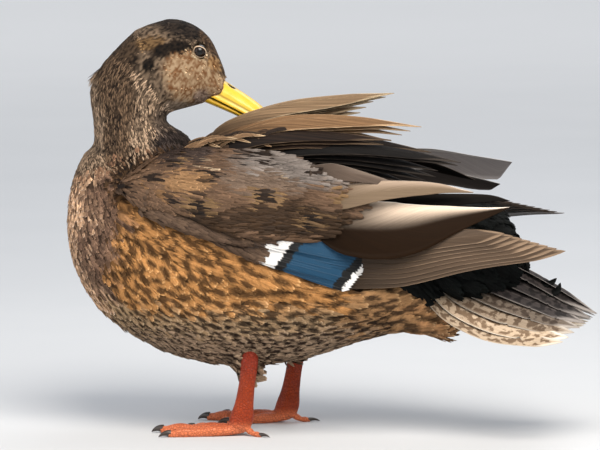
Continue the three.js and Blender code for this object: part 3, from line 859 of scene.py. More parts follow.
# ---------------------------------------------------------------- Body plumage
# Contour feathers from the collar to the vent, small on the breast and larger on flank and belly.
# They overlap like shingles, the front ones over those behind, and dark marks run over several at once.

# Ground, mark, edge, (ringed, spotted, barred), half a dark mark's length in mm and how hollow it is.
ZONES = {
    "throat": ("7d6a5a", "2c211a", "8a7866", (0.0, 0.0, 0.0), 0.0, 0.0),
    "neck": ("715c4b", "2e2118", "80685a", (0.0, 0.0, 0.0), 0.0, 0.0),
    "collar": ("8c6850", "21170f", "a98566", (0.0, 0.3, 0.0), 2.0, 0.0),
    "breast": ("f8caa0", "54341f", "ffe2c8", (0.0, 0.4, 0.0), 2.0, 0.0),
    "chest": ("7e614e", "0a0706", "9c7a62", (0.0, 0.2, 0.0), 4.2, 0.7),
    "flank": ("c08850", "150b06", "d6a46c", (0.1, 0.2, 0.2), 5.6, 0.15),
    "low_flank": ("b4946f", "1c110a", "cbae8a", (0.1, 0.3, 0.2), 4.2, 0.1),
    "belly": ("a68c72", "281a12", "b69c82", (0.0, 0.3, 0.0), 2.6, 0.0),
    "loin": ("ac8258", "1e120b", "bc966a", (0.1, 0.3, 0.4), 4.2, 0.1),
    "mantle": ("46321f", "150e09", "6d5038", (0.2, 0.3, 0.0), 3.0, 0.0),
    "back": ("3c2e23", "160f0a", "5a4534", (0.3, 0.3, 0.0), 0.0, 0.0),
    "rump": ("0b0c0b", "040404", "0e100e", (0.0, 0.0, 0.0), 0.0, 0.0),
    "vent": ("b5855a", "1c100a", "dcb88c", (0.2, 0.4, 0.0), 5.0, 0.3),
}


def zone_shares(points, along):
    """How much each root belongs to each zone, from its place on the bird."""
    x, y, z = (points[:, 0] - BREAST_X) / MM, np.abs(points[:, 1]) / MM, points[:, 2] / MM
    x = x + 5 * np.sin(z / 9 + x / 31) + 3 * np.sin(z / 4.3 + 1.3)  # ragged borders
    s = along / MM
    top = rise(z, 156, 170) * rise(x, 34, 50) * (1 - rise(y, 46, 58))
    shares = {name: np.zeros(len(points)) for name in ZONES}
    shares["neck"] = 1.2 * bump_of(s, -50, 112, 6)
    shares["throat"] = 2 * bump_of(s, 70, 110, 8) * rise(x, 62, 82)
    shares["collar"] = 1.5 * bump_of(s, 108, 119, 4) * (1 - rise(z, 200, 206))
    body = rise(s, 112, 122)
    shares["breast"] = body * (1 - rise(x, 22, 38)) * (1 - 0.6 * rise(y, 26, 44))
    shares["chest"] = body * bump_of(x, 16, 44, 9) * bump_of(z, 104, 172, 12) * rise(y, 20, 40) * 1.6
    shares["flank"] = body * bump_of(x, 42, 186, 10) * bump_of(z, 88, 162, 9) * rise(y, 30, 46) * 1.5
    shares["low_flank"] = body * bump_of(x, 20, 190, 14) * bump_of(z, 70, 92, 11)
    shares["belly"] = body * (1 - rise(z, 64, 84)) * (1 - rise(x, 205, 240))
    shares["loin"] = body * rise(x, 176, 200) * bump_of(z, 60, 112, 10) * (1 - rise(x, 238, 256))
    shares["vent"] = body * rise(x, 222, 244) * (1 - rise(z, 96, 108)) * 1.4
    shares["mantle"] = 3 * body * top * (1 - rise(x, 130, 180))
    shares["back"] = 3 * body * top * rise(x, 130, 180)
    shares["rump"] = 8 * rise(x + 0.35 * (z - 120), 228, 240) * rise(z, 88, 96)
    rows = np.stack([shares[name] for name in ZONES], 1) + 1e-4
    return rows / rows.sum(1, keepdims=True)


ZONE_GROUND, ZONE_MARK, ZONE_EDGE = (paint(*(ZONES[n][i] for n in ZONES)) for i in range(3))
ZONE_FIGURE = np.array([ZONES[n][3] for n in ZONES])
ZONE_SPOTS = np.array([ZONES[n][4:] for n in ZONES])


def markings(points, along, rng):
    """Ground, mark, edge and figure of feathers rooted at the points, one row for each."""
    shares = zone_shares(points, along)
    shares = shares * rng.uniform(0.2, 1.8, shares.shape)  # zones mingle where they meet
    shares = shares**2 / (shares**2).sum(1, keepdims=True)
    return shares @ ZONE_GROUND, shares @ ZONE_MARK, shares @ ZONE_EDGE, shares @ ZONE_FIGURE


def contour_shapes(name, count, pairs, spread, rng):
    """A few like feathers, rounded at the end, with pairs of locks along the shaft and one at the tip."""
    shapes = []
    for number in range(count):
        locks = []
        for pair in range(pairs):
            for side in (-1, 1):
                root = 0.72 * pair / pairs
                reach = 0.34 + 0.3 * pair / pairs + rng.uniform(-0.03, 0.06)
                wide = spread * math.sqrt(max(0.12, 1 - (max(0, root + reach - 0.55) / 0.5) ** 2))
                end = (min(root + reach, 1.0), side * 0.5 * wide * rng.uniform(0.9, 1.05))
                bow = (root + 0.42 * reach, side * 0.5 * wide * 0.62)
                path = [(root, 0), bow, (0.35 * bow[0] + 0.65 * end[0], 0.3 * bow[1] + 0.7 * end[1]), end]
                locks.append((path, 0.6 / pairs, rng.uniform(0, 0.02) + 0.006 * pair))
        tip = rng.uniform(-0.03, 0.03)
        locks.append(([(0.3, 0), (0.6, 0), (0.85, tip / 2), (1.02, tip)], 0.13, 0.03))
        shapes.append(feather_shape(f"{name} {number}", locks, 0.12, 0.09))
    return shapes


# Dark marks lie over the coat wherever the nearest centre of one reaches.
marking, given, result = geometry_tree("dark marks over the coat", {"Marks": "Object"})
place = geometry_node(marking, "InputPosition", {})
cloud = add_node(marking, "ShaderNodeTexNoise", {"Vector": place, "Scale": 380.0, "Detail": 2.0})
shift = vector_maths("SUBTRACT", Wire(cloud.outputs["Color"]), (0.5, 0.5, 0.5))
spot = vector_maths("MULTIPLY_ADD", shift, (3 * MM, 3 * MM, 3 * MM), place)
centres = geometry_node(marking, "ObjectInfo", {"Object": given["Marks"]}, "Geometry")
wires = {"Geometry": centres, "Sample Position": spot}
nearest = geometry_node(marking, "SampleNearest", wires, "Index", domain="POINT")


def of_nearest(value):
    wires = {"Geometry": centres, "Value": value, "Index": nearest}
    return geometry_node(marking, "SampleIndex", wires, "Value", data_type="FLOAT_VECTOR")


offset = vector_maths("SUBTRACT", spot, of_nearest(place))
run, breadth, nature = (
    of_nearest(named(marking, name, "FLOAT_VECTOR")) for name in ("run", "breadth", "nature")
)
run, breadth = (vector_maths("DOT_PRODUCT", offset, way, output="Value") for way in (run, breadth))
bend, hollow, _ = parts_of(nature)
away = span_of(run, run * run * bend + breadth)
solid = graded(away, 1.12, 0.82)
rim = graded(abs(away - 0.85), 0.42, 0.22)
shown = most(solid * (1.0 - hollow), rim * hollow)
wires = {"Geometry": given["Geometry"], "Name": "marking", "Value": shown}
feed(result, {"Geometry": geometry_node(marking, "StoreNamedAttribute", wires, data_type="FLOAT")})


def mark_centres():
    """Where dark marks lie over the body, each with its run along the lie, its breadth and nature."""
    found = scattered(skin.data, rise(along / MM, 108, 124), 2.0 * MM, 3)
    place, lie, outward = found["place"], found["lie"], found["outward"]
    spots = zone_shares(place, found["along"]) @ ZONE_SPOTS
    rear = rise((place[:, 0] - BREAST_X) / MM, 70, 170)
    long = spots[:, 0] * (0.85 + 0.8 * rear) * MM * rng.uniform(0.7, 1.3, len(spots))
    broad = long * (0.42 + 0.3 * spots[:, 1]) * (1 - 0.3 * rear)
    kept = []
    for i in rng.permutation(np.flatnonzero(long > 0.9 * MM)):
        offset = place[i] - place[kept]
        run = (offset * lie[kept]).sum(1)
        aside = np.sqrt(np.maximum((offset**2).sum(1) - run**2, 0))
        if not (np.hypot(run / (1.4 * long[kept]), aside / (1.95 * broad[kept])) < 1).any():
            kept.append(i)
    swerve = rng.normal(0, 0.25, (len(kept), 1))
    runs, asides = lie[kept], np.cross(outward[kept], lie[kept])
    c, s = np.cos(swerve), np.sin(swerve)
    runs, asides = runs * c + asides * s, asides * c - runs * s
    dots = bpy.data.meshes.new("mark centres")
    dots.from_pydata(place[kept], [], [])
    bend = rng.normal(0, 0.45, len(kept))
    nature = np.column_stack([bend, spots[kept, 1], bend])
    rows = {"run": runs / long[kept][:, None], "breadth": asides / broad[kept][:, None], "nature": nature}
    for name, values in rows.items():
        set_attribute(dots, name, "FLOAT_VECTOR", values)
    made = bpy.data.objects.new("mark centres", dots)
    scene.collection.objects.link(made)
    return made


body_shapes = contour_shapes("contour", 5, 5, 0.95, rng)
body_finish = feather_material("body plumage", 0.12, 0.85)
marks = mark_centres()
BODY_BANDS = {  # share of each tract over the skin, spacing, length, width, pitch
    "breast_plumage": (bump_of(along / MM, 117, 165, 6), 2.3, 7.6, 4.2, 0.2),
    "belly_plumage": (rise(along / MM, 158, 170) * (skin_places[:, 2] < 86 * MM), 2.9, 10, 5.2, 0.17),
    "side_plumage": (rise(along / MM, 158, 170) * (skin_places[:, 2] >= 84 * MM), 3.2, 13, 6.6, 0.17),
}
ROOT_SUNK = 0.6 * MM
FEATHER_PATCH = 0.012
for name, (share, spacing, length, width, pitch) in BODY_BANDS.items():
    roots = scattered(skin.data, share * ~under, spacing * MM, 5)
    roots["place"] -= roots["outward"] * ROOT_SUNK
    colours = markings(roots["place"], roots["along"], rng)
    sizes = length * MM, width * MM, pitch, 0.16, FEATHER_PATCH
    keep(plant_feathers(name, roots, body_shapes, body_finish, *sizes, colours, rng, marks))

# The skin shows between the feathers, so it carries their colours and the same marks, darker as painted shade
# between them.
ground, mark, _, _ = markings(skin_places, along, rng)
dapple = dappled(skin_places, "neck", HEAD_LAYERS, rng)[0]
ground = np.where((along < 118 * MM)[:, None], dapple, ground) * 0.7
dressed = grown("marked skin", skin.data, marking, Marks=marks)
set_attribute(skin.data, "marking", "FLOAT", get_attribute(dressed.data, "marking", 1))
bpy.data.objects.remove(dressed)
set_colours(skin.data, ground=ground, mark=mark, edge=ground)
skin.data.materials.append(feather_material("skin", 0.2, 0.9))
drop_attributes(skin.data, "lie", "along", "turn")
keep(skin, FLESH)

# ---------------------------------------------------------------- The folded wings
# Coverts over the wrist, the blue speculum between black and white bars, then the primaries and the
# broad tertials that hide them. Every quill is a thin closed vane on a shaft, bent along its own line
# and cambered across; the right wing's are mirrored, and raised because that wing is a little open.
ACROSS = np.array([-1, -0.8, -0.42, -0.05, 0.05, 0.42, 0.8, 1])
LEFT, RIGHT = 1, -1


def curve_through(places, steps):
    """A smooth line through given places."""
    p = np.asarray(places, float)
    p = np.vstack([2 * p[0] - p[1], p, 2 * p[-1] - p[-2]])
    s = np.linspace(0, len(p) - 3, steps)
    i = np.minimum(s.astype(int), len(p) - 4)
    f = (s - i)[:, None]
    a, b, c, d = (p[i + k] for k in range(4))
    return b + f * (c - a + f * (2 * a - 5 * b + 4 * c - d + f * (3 * b - a - 3 * c + d))) / 2


def closing(t, start, power):
    """How far a vane's edge has closed towards the tip: straight for power 1, round for 2."""
    x = np.clip((t - start) / (1 - start), 0, 1)
    return np.maximum(1 - x**power, 0) ** (1 / power)


def vane_width(half, t, close, power):
    """Half a vane's width: a number that closes towards the tip, or widths at even steps to it."""
    if np.ndim(half):
        return np.maximum(np.interp(t, np.linspace(0, 1, len(half)), half), 0.1)
    return half * np.maximum(closing(t, close, power), 0.02)


LINE_STEPS = 80


def quill(spine, face, half, coat, rng, side=LEFT, close=(0.6, 0.6), power=(2, 2), **shape):
    """One feather. `half`, `close` and `power` are (upper edge, lower edge), in millimetres and shares."""
    look = {"camber": 0.14, "slant": 0.16, "stations": 22, "splits": 3, "thick": 0.12, "shaft": 0.25}
    look |= {"face_end": face, "root": 0.5, "gape": 0.35} | shape
    q = np.linspace(0, 1, look["stations"]) ** 0.9
    notch = {}
    for _ in range(look["splits"]):
        middle, edge = rng.uniform(0.4, 0.93), rng.integers(0, 2)
        q = np.append(q, [middle - 0.03, middle, middle + 0.007])
        notch[middle] = (edge, rng.uniform(0.3, 1.0) * look["gape"])
    q = np.sort(q)
    line = curve_through(spine, LINE_STEPS)
    ways = unit(np.gradient(line, axis=0))
    share = np.abs(ACROSS)[None, :]
    t = np.clip(q[:, None] + look["slant"] * share * q[:, None] * (1 - q[:, None]), 0, 1)
    steps = np.linspace(0, 1, LINE_STEPS)
    centre, way = (np.stack([np.interp(t, steps, c) for c in rows.T], -1) for rows in (line, ways))
    way = unit(way)
    start, end = (unit(np.array(way_out, float)) for way_out in (face, look["face_end"]))
    outward = (1 - t[..., None]) * start + t[..., None] * end
    upward = unit(np.cross(outward, way))
    outward = unit(np.cross(way, upward))
    opened = look["root"] + (1 - look["root"]) * rise(t, 0, 0.3)
    top, low = (opened * vane_width(half[i], t, close[i], power[i]) for i in (0, 1))
    width = np.where(ACROSS > 0, top, low)
    reach = np.broadcast_to(ACROSS, t.shape).copy()
    for middle, (edge, depth) in notch.items():
        row = int(np.argmin(np.abs(q - middle)))
        cut = (ACROSS > 0.5) if edge else (ACROSS < -0.5)
        reach[row, cut] *= (0.42 + (np.abs(ACROSS[cut]) - 0.42) * (1 - depth)) / np.abs(ACROSS[cut])
    place = centre + upward * (reach * width)[..., None]
    place -= outward * (look["camber"] * width * reach**2)[..., None]
    ridge = look["thick"] + look["shaft"] * np.exp(-((ACROSS / 0.1) ** 2)) * (1 - 0.8 * t)
    ridge = np.minimum(ridge, 0.4 * width + 0.05)[..., None]
    rows, columns = t.shape
    vertices = np.concatenate([(place + outward * k * ridge).reshape(-1, 3) for k in (1, -1)])
    corner = np.arange(rows * columns).reshape(rows, columns)
    quads = [corner[:-1, :-1], corner[1:, :-1], corner[1:, 1:], corner[:-1, 1:]]
    above = np.stack(quads, -1).reshape(-1, 4)[:, ::-1]
    rim = np.concatenate([corner[:, 0], corner[-1, 1:], corner[-2::-1, -1], corner[0, -2:0:-1]])
    after = np.roll(rim, -1)
    sheet = rows * columns
    sides = np.stack([rim, after, after + sheet, rim + sheet], 1)[:, ::-1]
    faces = np.concatenate([above, above[:, ::-1] + sheet, sides])
    if side == RIGHT:
        vertices, faces = vertices * [1, -1, 1], faces[:, ::-1]
    vane = np.stack([np.broadcast_to(ACROSS, t.shape), t, 0 * t], -1).reshape(-1, 3)
    length = np.linalg.norm(np.diff(line, axis=0), axis=1).sum()
    made = {"vertices": vertices, "faces": faces, "vane": np.tile(vane, (2, 1)), "coat": coat}
    return made | {"chance": rng.uniform(), "span": length}


def quills_object(name, quills, finish):
    """One mesh of many quills, each with a cell of its own on the map that is baked."""
    counts = [len(q["vertices"]) for q in quills]
    starts = np.cumsum([0] + counts)
    faces = np.concatenate([q["faces"] + s for q, s in zip(quills, starts)])
    vertices, vane = (np.concatenate([q[label] for q in quills]) for label in ("vertices", "vane"))
    piece = mesh_object(name, placed(vertices), faces.tolist(), finish)

    def repeat(rows):
        return np.repeat(np.asarray(rows, float), counts, axis=0)

    set_attribute(piece.data, "vane", "FLOAT_VECTOR", vane)
    for label in ("chance", "span"):
        set_attribute(piece.data, label, "FLOAT", repeat([q[label] for q in quills]))
    ground, mark, edge, figure = (repeat([q["coat"][i] for q in quills]) for i in range(4))
    set_colours(piece.data, ground=ground, mark=mark, edge=edge)
    set_attribute(piece.data, "figure", "FLOAT_VECTOR", figure)
    columns = max(1, math.ceil(math.sqrt(len(quills) * 2.5)))
    number = np.repeat(np.arange(len(quills)), counts)
    cell = np.stack([number % columns, number // columns], 1)
    inner = 0.05 + 0.9 * np.stack([vane[:, 0] / 2 + 0.5, vane[:, 1]], 1)
    set_bake_map(piece.data, (cell + inner) / [columns, math.ceil(len(quills) / columns)])
    return piece


def loft(name, rings, material, ends=True, **attributes):
    """A closed surface through rings of places, which may carry vectors that go with the places."""
    rings = np.asarray(rings, float)
    rows, around = rings.shape[:2]
    corner = np.arange(rows * around).reshape(rows, around)
    if not ends:
        corner = np.vstack([corner, corner[:1]])
    after = np.roll(corner, -1, axis=1)
    faces = np.stack([corner[:-1], after[:-1], after[1:], corner[1:]], -1).reshape(-1, 4).tolist()
    places = rings.reshape(-1, 3)
    if ends:
        first, last = len(places), len(places) + 1
        places = np.vstack([places, rings[0].mean(0), rings[-1].mean(0)])
        faces += [(first, b, a) for a, b in zip(corner[0], after[0])]
        faces += [(last, a, b) for a, b in zip(corner[-1], after[-1])]
    middle = places.mean(0)
    volume = sum(
        np.dot(places[f[0]] - middle, np.cross(places[f[i]] - middle, places[f[i + 1]] - middle))
        for f in faces
        for i in range(1, len(f) - 1)
    )
    if volume < 0:
        faces = [tuple(reversed(face)) for face in faces]
    made = mesh_object(name, places, faces, material)
    for label, values in attributes.items():
        values = np.asarray(values, float).reshape(rows * around, 3)
        if ends:
            values = np.vstack([values, values[:around].mean(0), values[-around:].mean(0)])
        set_attribute(made.data, label, "FLOAT_VECTOR", values)
    return made


# The outer surface of the folded bird, seen from its left, on which the lying feathers are laid.
TAILS = [f"tail_feathers_{side}" for side in SIDE_NAMES]
shell = joined("shell", [copy_of(name) for name in (*FLESH, *COVERS, *TAILS)])
shell_tree = facing(shell)
bpy.data.objects.remove(shell)


def on_side(x, z):
    """Where the bird's left side stands at a place seen from the side, and which way it faces."""
    start = Vector(at(x, -200, z))
    hit, normal = shell_tree.ray_cast(start, Vector((0, 1, 0)))[:2]
    if hit is None:
        hit, normal = shell_tree.find_nearest(Vector(at(x, -30, z)))[:2]
    return np.array([(hit.x - BREAST_X) / MM, hit.y / MM, hit.z / MM]), np.array(normal)


def laid_pad(name, low, high, stand, side):
    """A thin pad over the wing's side between two lines, and which of its places face outwards."""
    rows, columns = 22, 70
    rings = []
    for under, over in zip(resampled(low, columns), resampled(high, columns)):
        face = []
        for share in np.linspace(0, 1.25, rows):
            x, z = under + (over - under) * min(1, share)
            tuck = max(0, share - 1) * 4  # the top folds in over the back
            y = stand(x, z)
            fold = (2 - 8 * rise(x, 140, 200)) * math.sin(tuck * math.pi / 2)
            face.append((x, y + tuck * (-26 - y), z + fold))
        rings.append(np.vstack([face, (np.array(face) + [0, 1.4, -0.3])[::-1]]))
    pad = loft(name, placed(rings, side), bpy.data.materials["skin"])
    return pad, np.append(np.tile(np.arange(2 * rows) < rows, columns), [False, False])


def side_roots(spots, side):
    """Roots of feathers on the side, each spot an x, a z, how far out it stands and its slope."""
    rows = {"place": [], "outward": [], "lie": []}
    for x, z, lift, slope in spots:
        place, normal = on_side(x, z)
        rows["place"].append(placed(place + normal * lift, side))
        rows["outward"].append(normal * [1, side, 1])
        rows["lie"].append((math.cos(math.radians(slope)), 0, math.sin(math.radians(slope))))
    rows = {label: np.array(values, float) for label, values in rows.items()}
    rows["along"], _, rows["turn"] = flow_at(rows["place"])
    return rows


PLAIN = (0.0, 0.0, 0.0)


def row_of(count, start, end):
    """Evenly spaced mixes of two rows of numbers."""
    return [np.array(start) + (np.array(end) - start) * s for s in np.linspace(0, 1, count)]


def shades(ground, mark, edge, figure=PLAIN, spread=0.12):
    """What a feather is coloured with, its ground a little lighter or darker by chance."""
    lift = rng.uniform(1 - spread, 1 + spread)
    return paint(ground)[0] * lift, paint(mark)[0], paint(edge)[0] * lift, figure


SIDES = ((LEFT, "left"), (RIGHT, "right"))
COVERT_LOW = np.array([(62, 151), (78, 142), (103, 131), (122, 125), (140, 119)], float)
COVERT_TOP = np.array([(64, 168), (80, 162), (103, 152), (128, 145), (153, 137)], float)
pelt = contour_shapes("pelt feather", 5, 5, 0.95, rng)


def furred_pad(name, low, high, stand, side, base, patches, sizes, spacing, slope_at):
    """A pad on the wing grown over with soft feathers, coloured by patches in the side view."""
    pad, top = laid_pad(name + "_pad", low, high, stand, side)
    places = places_of(pad.data)
    slope = np.radians(slope_at(*side_view(places).T))
    ways = np.stack([np.cos(slope), 0 * slope, np.sin(slope)], 1)
    along, _, turn = flow_at(places)
    give_flow(pad.data, along_surface(ways, normals_of(pad.data)), along, turn)
    roots = scattered(pad.data, top.astype(float), spacing * MM, 17)
    drop_attributes(pad.data, "lie", "along", "turn")
    length, width = sizes(side_view(roots["place"])[:, 0])
    tips = roots["place"] + roots["lie"] * length[:, None] * 0.6 * MM
    base_colour = dappled(tips, base, [(patches, side_view)], rng, 0.32, 1.8)[0]
    scaly = 1 - rise(side_view(tips)[:, :1], 100, 150) if patches else np.zeros((len(tips), 1))
    centre, rim = base_colour * (1 - 0.65 * scaly), base_colour * (1.15 + 0.6 * scaly)
    colours = base_colour, centre, rim, scaly * [0.2, 0.5, 0.25]
    # the pad is darker than its feathers: painted shade between them
    ground = dappled(places, base, [(patches, side_view)], rng)[0] * 0.6
    set_colours(pad.data, ground=ground, mark=ground, edge=ground)
    sizes = length * MM, width * MM, 0.1, 0.1, FEATHER_PATCH
    keep(pad, ())
    return plant_feathers(name, roots, pelt, pelt_finish, *sizes, colours, rng)


pelt_finish = feather_material("wing pelt", 0.12, 0.6, bump=0.06, barbs=0.6)
for side, name in SIDES:
    coat = furred_pad(
        f"wing_coverts_{name}", COVERT_LOW, COVERT_TOP, lambda x, z: on_side(x, z)[0][1] - 0.8, side,
        "covert", [], lambda x: (8 + 0 * x, 3.6 + 0 * x), 1.9, lambda x, z: -19 + 0 * x,
    )
    keep(coat, [f"wing_{name}_coverts"])

band_finish, shader = new_material("barred wing feathers", 0.5, Specular_IOR_Level=0.3)
aside, out, _ = parts_of(carried(shader, "vane"))
across = abs(aside)
barbs = noise(vector_of((out - across * 0.3) * carried(shader, "span", "Fac"), across), 2.0, 3.0)
slant = (barbs - 0.5) * 0.024 + (across * -0.01 + out)
colour = "48382d"
BARS = ((0.11, "e6e3df"), (0.28, "030303"), (0.36, "0b3c58"), (0.82, "030303"), (0.915, "e6e3df"))
for limit, code in BARS:
    colour = mixed(graded(slant - limit, 0.0, 0.014), colour, code)
tone = graded(barbs, 0.2, 0.8, 0.65, 1.25)
feed(shader, {"Base Color": mixed(1.0, colour, vector_of(tone, tone, tone), "MULTIPLY")})
bumped(shader, barbs, 0.08)


def band_quill(x0, z0, x1, z1, lift, half, coat, side, close):
    spots = [on_side(x0 + (x1 - x0) * s, z0 + (z1 - z0) * s) for s in (0.0, 0.35, 0.7, 1.0)]
    line = [place + normal * lift for place, normal in spots]
    look = {"close": (close, close), "stations": 14, "splits": 0, "camber": 0.03, "power": (3, 3)}
    look |= {"thick": 0.06, "shaft": 0.0}
    return quill(line, spots[0][1], (half, half), coat, rng, side, face_end=spots[-1][1], **look)


for side, name in SIDES:
    barred = []
    for number, (x0, z0, x1, z1) in enumerate(row_of(15, (143, 139.5, 220, 125), (133, 124, 203, 102.5))):
        coat = shades("144a6c", "030303", "e6e3df", PLAIN, 0.15)
        barred.append(band_quill(x0, z0, x1, z1, 1.4 - 0.06 * number, 2.5, coat, side, 0.985))
    keep(quills_object(f"speculum_{name}", barred, band_finish), [f"wing_{name}_speculum"])

primary_finish = feather_material("primaries", 0.07, 0.5, bump=0.08, barbs=0.5, strands=0.35)
PRIMARIES = {  # the first, longest line and the last, seen on the left side
    LEFT: (
        [(200, -50, 104), (236, -50, 109), (280, -44, 120), (314, -33, 125), (341, -22, 127.5)],
        [(204, -50, 130), (232, -51, 131), (256, -48, 135), (280, -43, 138.5), (303, -36, 140)],
    ),
    RIGHT: (
        [(188, -62, 128), (234, -58, 133), (280, -44, 142), (312, -28, 147), (334, -16, 148.5)],
        [(192, -52, 150), (230, -46, 152), (256, -38, 153), (278, -30, 154), (298, -22, 154)],
    ),
}
for side, name in SIDES:
    fan = []
    face = (0, -1, 0.2) if side == LEFT else (0, -0.3, 1)
    for number, line in enumerate(row_of(8, *PRIMARIES[side])):
        line[:, 1] -= 0.4 * number - 0.8
        # the right wing's primaries are the same feathers in darker tones: painted shade on the far wing
        tone = ("4f3f31", "2b211a", "8a735d") if side == LEFT else ("2c231e", "15110e", "5c4f45")
        coat = shades(*tone, PLAIN, 0.08)
        look = {"close": (0.72, 0.8), "power": (1.3, 1.3), "camber": 0.1, "stations": 26, "splits": 0}
        fan.append(quill(line, face, (5.0, 5.4 if number else 4.6), coat, rng, side, **look))
    keep(quills_object(f"primaries_{name}", fan, primary_finish), [f"wing_{name}_primaries"])

tertial_finish = feather_material(
    "tertials", 0.05, 0.6, 0.06, 0.05, lower_web=1.0, dark_root=0.9, root_end=0.84, barbs=0.35, strands=0.2
)
TERTIALS = {  # the shaft's line, then the widths above and below it at even steps
    LEFT: [
        ([(176, -58, 147), (196, -58.5, 144.5), (234, -54, 144), (270, -44, 151), (305, -31, 156.5)],
         (13.5, 15, 16.7, 18.2, 19, 18.2, 14.6, 10, 6, 2.6, 0.3),
         (11.8, 13.2, 15.5, 18.5, 20.5, 20.1, 17.7, 13.3, 8.8, 4.6, 0.3)),
        ([(178, -58, 162), (196, -57, 163.5), (225, -52, 168), (258, -44, 169.5), (282, -36, 166.5)],
         (9, 9, 9, 8.8, 8.4, 8, 6.7, 5.3, 3.5, 1.7, 0.3),
         (8.6, 9, 9, 8.5, 7.7, 6.5, 5.6, 4.7, 3.2, 1.7, 0.3)),
        ([(176, -53, 181), (190, -52, 180.5), (206, -50, 178), (226, -46.5, 173), (243, -43, 168.5)],
         (7.2, 7, 6.5, 6, 5.2, 4.4, 3.6, 2.8, 2, 1.3, 0.3),
         (8.8, 8.4, 7.8, 7.2, 6.4, 5.4, 4.2, 3.2, 2.2, 1.2, 0.3)),
    ],
    RIGHT: [
        ([(150, -46, 172), (200, -50, 181), (236, -49, 183.5), (268, -44, 181), (294.5, -38, 179.3)],
         (3, 3, 3, 3, 3, 3, 2.5, 2, 1.5, 1, 0.2), (6, 9, 11, 12.5, 13.5, 14, 14.5, 14.5, 15, 14, 0.3)),
        ([(150, -46, 160), (200, -52, 168), (242, -51, 169.5), (266, -49, 166.5), (285.5, -44, 163.8)],
         (3, 3, 3, 3, 3, 3, 2.5, 2, 1.5, 1, 0.2), (5, 7, 8, 8.5, 9, 9, 9, 9, 8.5, 7, 0.3)),
        ([(134, -40, 176), (178, -36, 182), (214, -34, 182), (246, -30, 176), (272, -26, 168)],
         (4, 5, 6, 6, 6, 5.5, 5, 4, 3, 2, 0.2), (6, 8, 8, 8, 8, 7.5, 7, 6, 5, 3, 0.3)),
    ],
}
# a near-black quill under the second left tertial: painted shade in the gap between it and the first
TERTIAL_UNDER = [(190, -46, 158), (230, -42, 159), (262, -35, 161), (290, -28, 162), (304, -23, 160)]
TERTIAL_TONES = {
    LEFT: [("ecd4bc", "1c1006", "f6e8d8"), ("b09a86", "74624f", "dccbbb"), ("7d6e62", "5a4c42", "a49588")],
    RIGHT: [("b0aba7", "767170", "ccc8c4"), ("88827e", "3c3735", "aca8a4"), ("2a2421", "120e0c", "5b5049")],
}
for side, name in SIDES:
    for number, (line, *half) in enumerate(TERTIALS[side]):
        face, end = (0, -1, 0.25 + 0.25 * number), (0, -0.85, 0.45 + 0.25 * number)
        coat = shades(*TERTIAL_TONES[side][number], PLAIN, 0.0)
        look = {"face_end": end, "camber": 0.12, "stations": 36, "splits": 0, "shaft": 0.0}
        made = [quill(line, face, half, coat, rng, side, **look)]
        # the dark quill under this tertial is painted shade in the gap below it
        if number == 1 and side == LEFT:
            coat = shades("1c1713", "0c0907", "3a3029")
            look |= {"close": (0.3, 0.3), "power": (1.2, 1.2)}
            made.append(quill(TERTIAL_UNDER, face, (6, 6), coat, rng, **look))
        piece = quills_object(f"tertial_{name}_{number + 1}", made, tertial_finish)
        keep(piece, [f"wing_{name}_tertial_{number + 1}"])

# ---------------------------------------------------------------- The scapulars
# Soft shoulder feathers over the roots of the wing, buff and black in front, silky grey above and
# dark below, with a painted shadow of the neck across their front top. They grow from a thin pad that lies on
# the coverts and reaches back over the tertials.
SHOULDER_LOW = np.array(
    [(44, 164), (60, 157), (78, 154), (98, 148), (128, 137), (152, 134), (169, 134), (182, 138),
     (193, 148), (201, 158)],
    float,
)
SHOULDER_TOP = np.array(
    [(48, 170), (62, 181), (78, 187), (98, 189), (124, 188), (150, 186), (172, 182), (187, 176),
     (197, 168), (203, 160)],
    float,
)
SHOULDER_PATCHES = [  # ground, then centre, reach and turn of an oval in the side view
    # the dark band along the shoulder's front top is a painted shadow of the neck's base
    ("nightfall", 86, 190, 24, 9, 0),
    ("bark", 52, 166, 7, 4, -30),
    ("silk", 165, 181, 46, 12, -4),
    ("low silk", 146, 171, 32, 8, -3),
    ("umber", 166, 148, 46, 14, -4),
    ("umber", 112, 146, 22, 9, -14),
    ("vermiculated", 95, 171, 18, 7, 0),
    ("bark", 71, 173, 5, 3, -40),
    ("ochre", 66, 168, 5, 2.2, -40),
    ("bark", 83, 181, 6, 2.5, -20),
    ("buff", 87, 185, 4, 1.8, 10),
    ("ochre", 78, 163, 6, 2.2, -30),
    ("bark", 86, 160, 6, 3, -35),
    ("pale fleck", 105, 180, 6, 1.5, -35),
    ("bark", 110, 175, 5, 5, -50),
    ("buff", 97, 156, 4, 7, 0),
    ("bark", 104, 155, 5, 8, 10),
    ("buff", 112, 157, 3.4, 7, 10),
    ("bark", 129, 186, 5, 3, -30),
    ("buff", 140, 162, 3.2, 6, 0),
    ("bark", 147, 163, 4, 7, 5),
    ("buff", 155, 161, 4, 6, -20),
    ("bark", 144, 187, 8, 3, -40),
    ("bark", 176, 184, 8, 2.8, -45),
    ("pale fleck", 160, 175.5, 5, 1.1, -35),
    ("buff", 181, 149, 9, 6, 10),
    ("bark", 182, 148, 4.6, 3.2, 0),
    ("buff", 196, 163, 8, 2.6, -12),
]


def shoulder_stand(x, z):
    near = on_side(x, z)[0][1] - 2.4
    far = -62.5 + 0.3 * max(0, z - 150) + 4 * rise(x, 184, 204)
    return near + (far - near) * rise(x, 140, 180)


def shoulder_slope(x, z):
    low, high = np.interp(x, *SHOULDER_LOW.T), np.interp(x, *SHOULDER_TOP.T)
    share, grow = np.clip((z - low) / (high - low), 0, 1), rise(x, 56, 120)
    return -32 * (1 - grow) * (1 - share) - 7 * grow + 9 * grow * (1 - share)


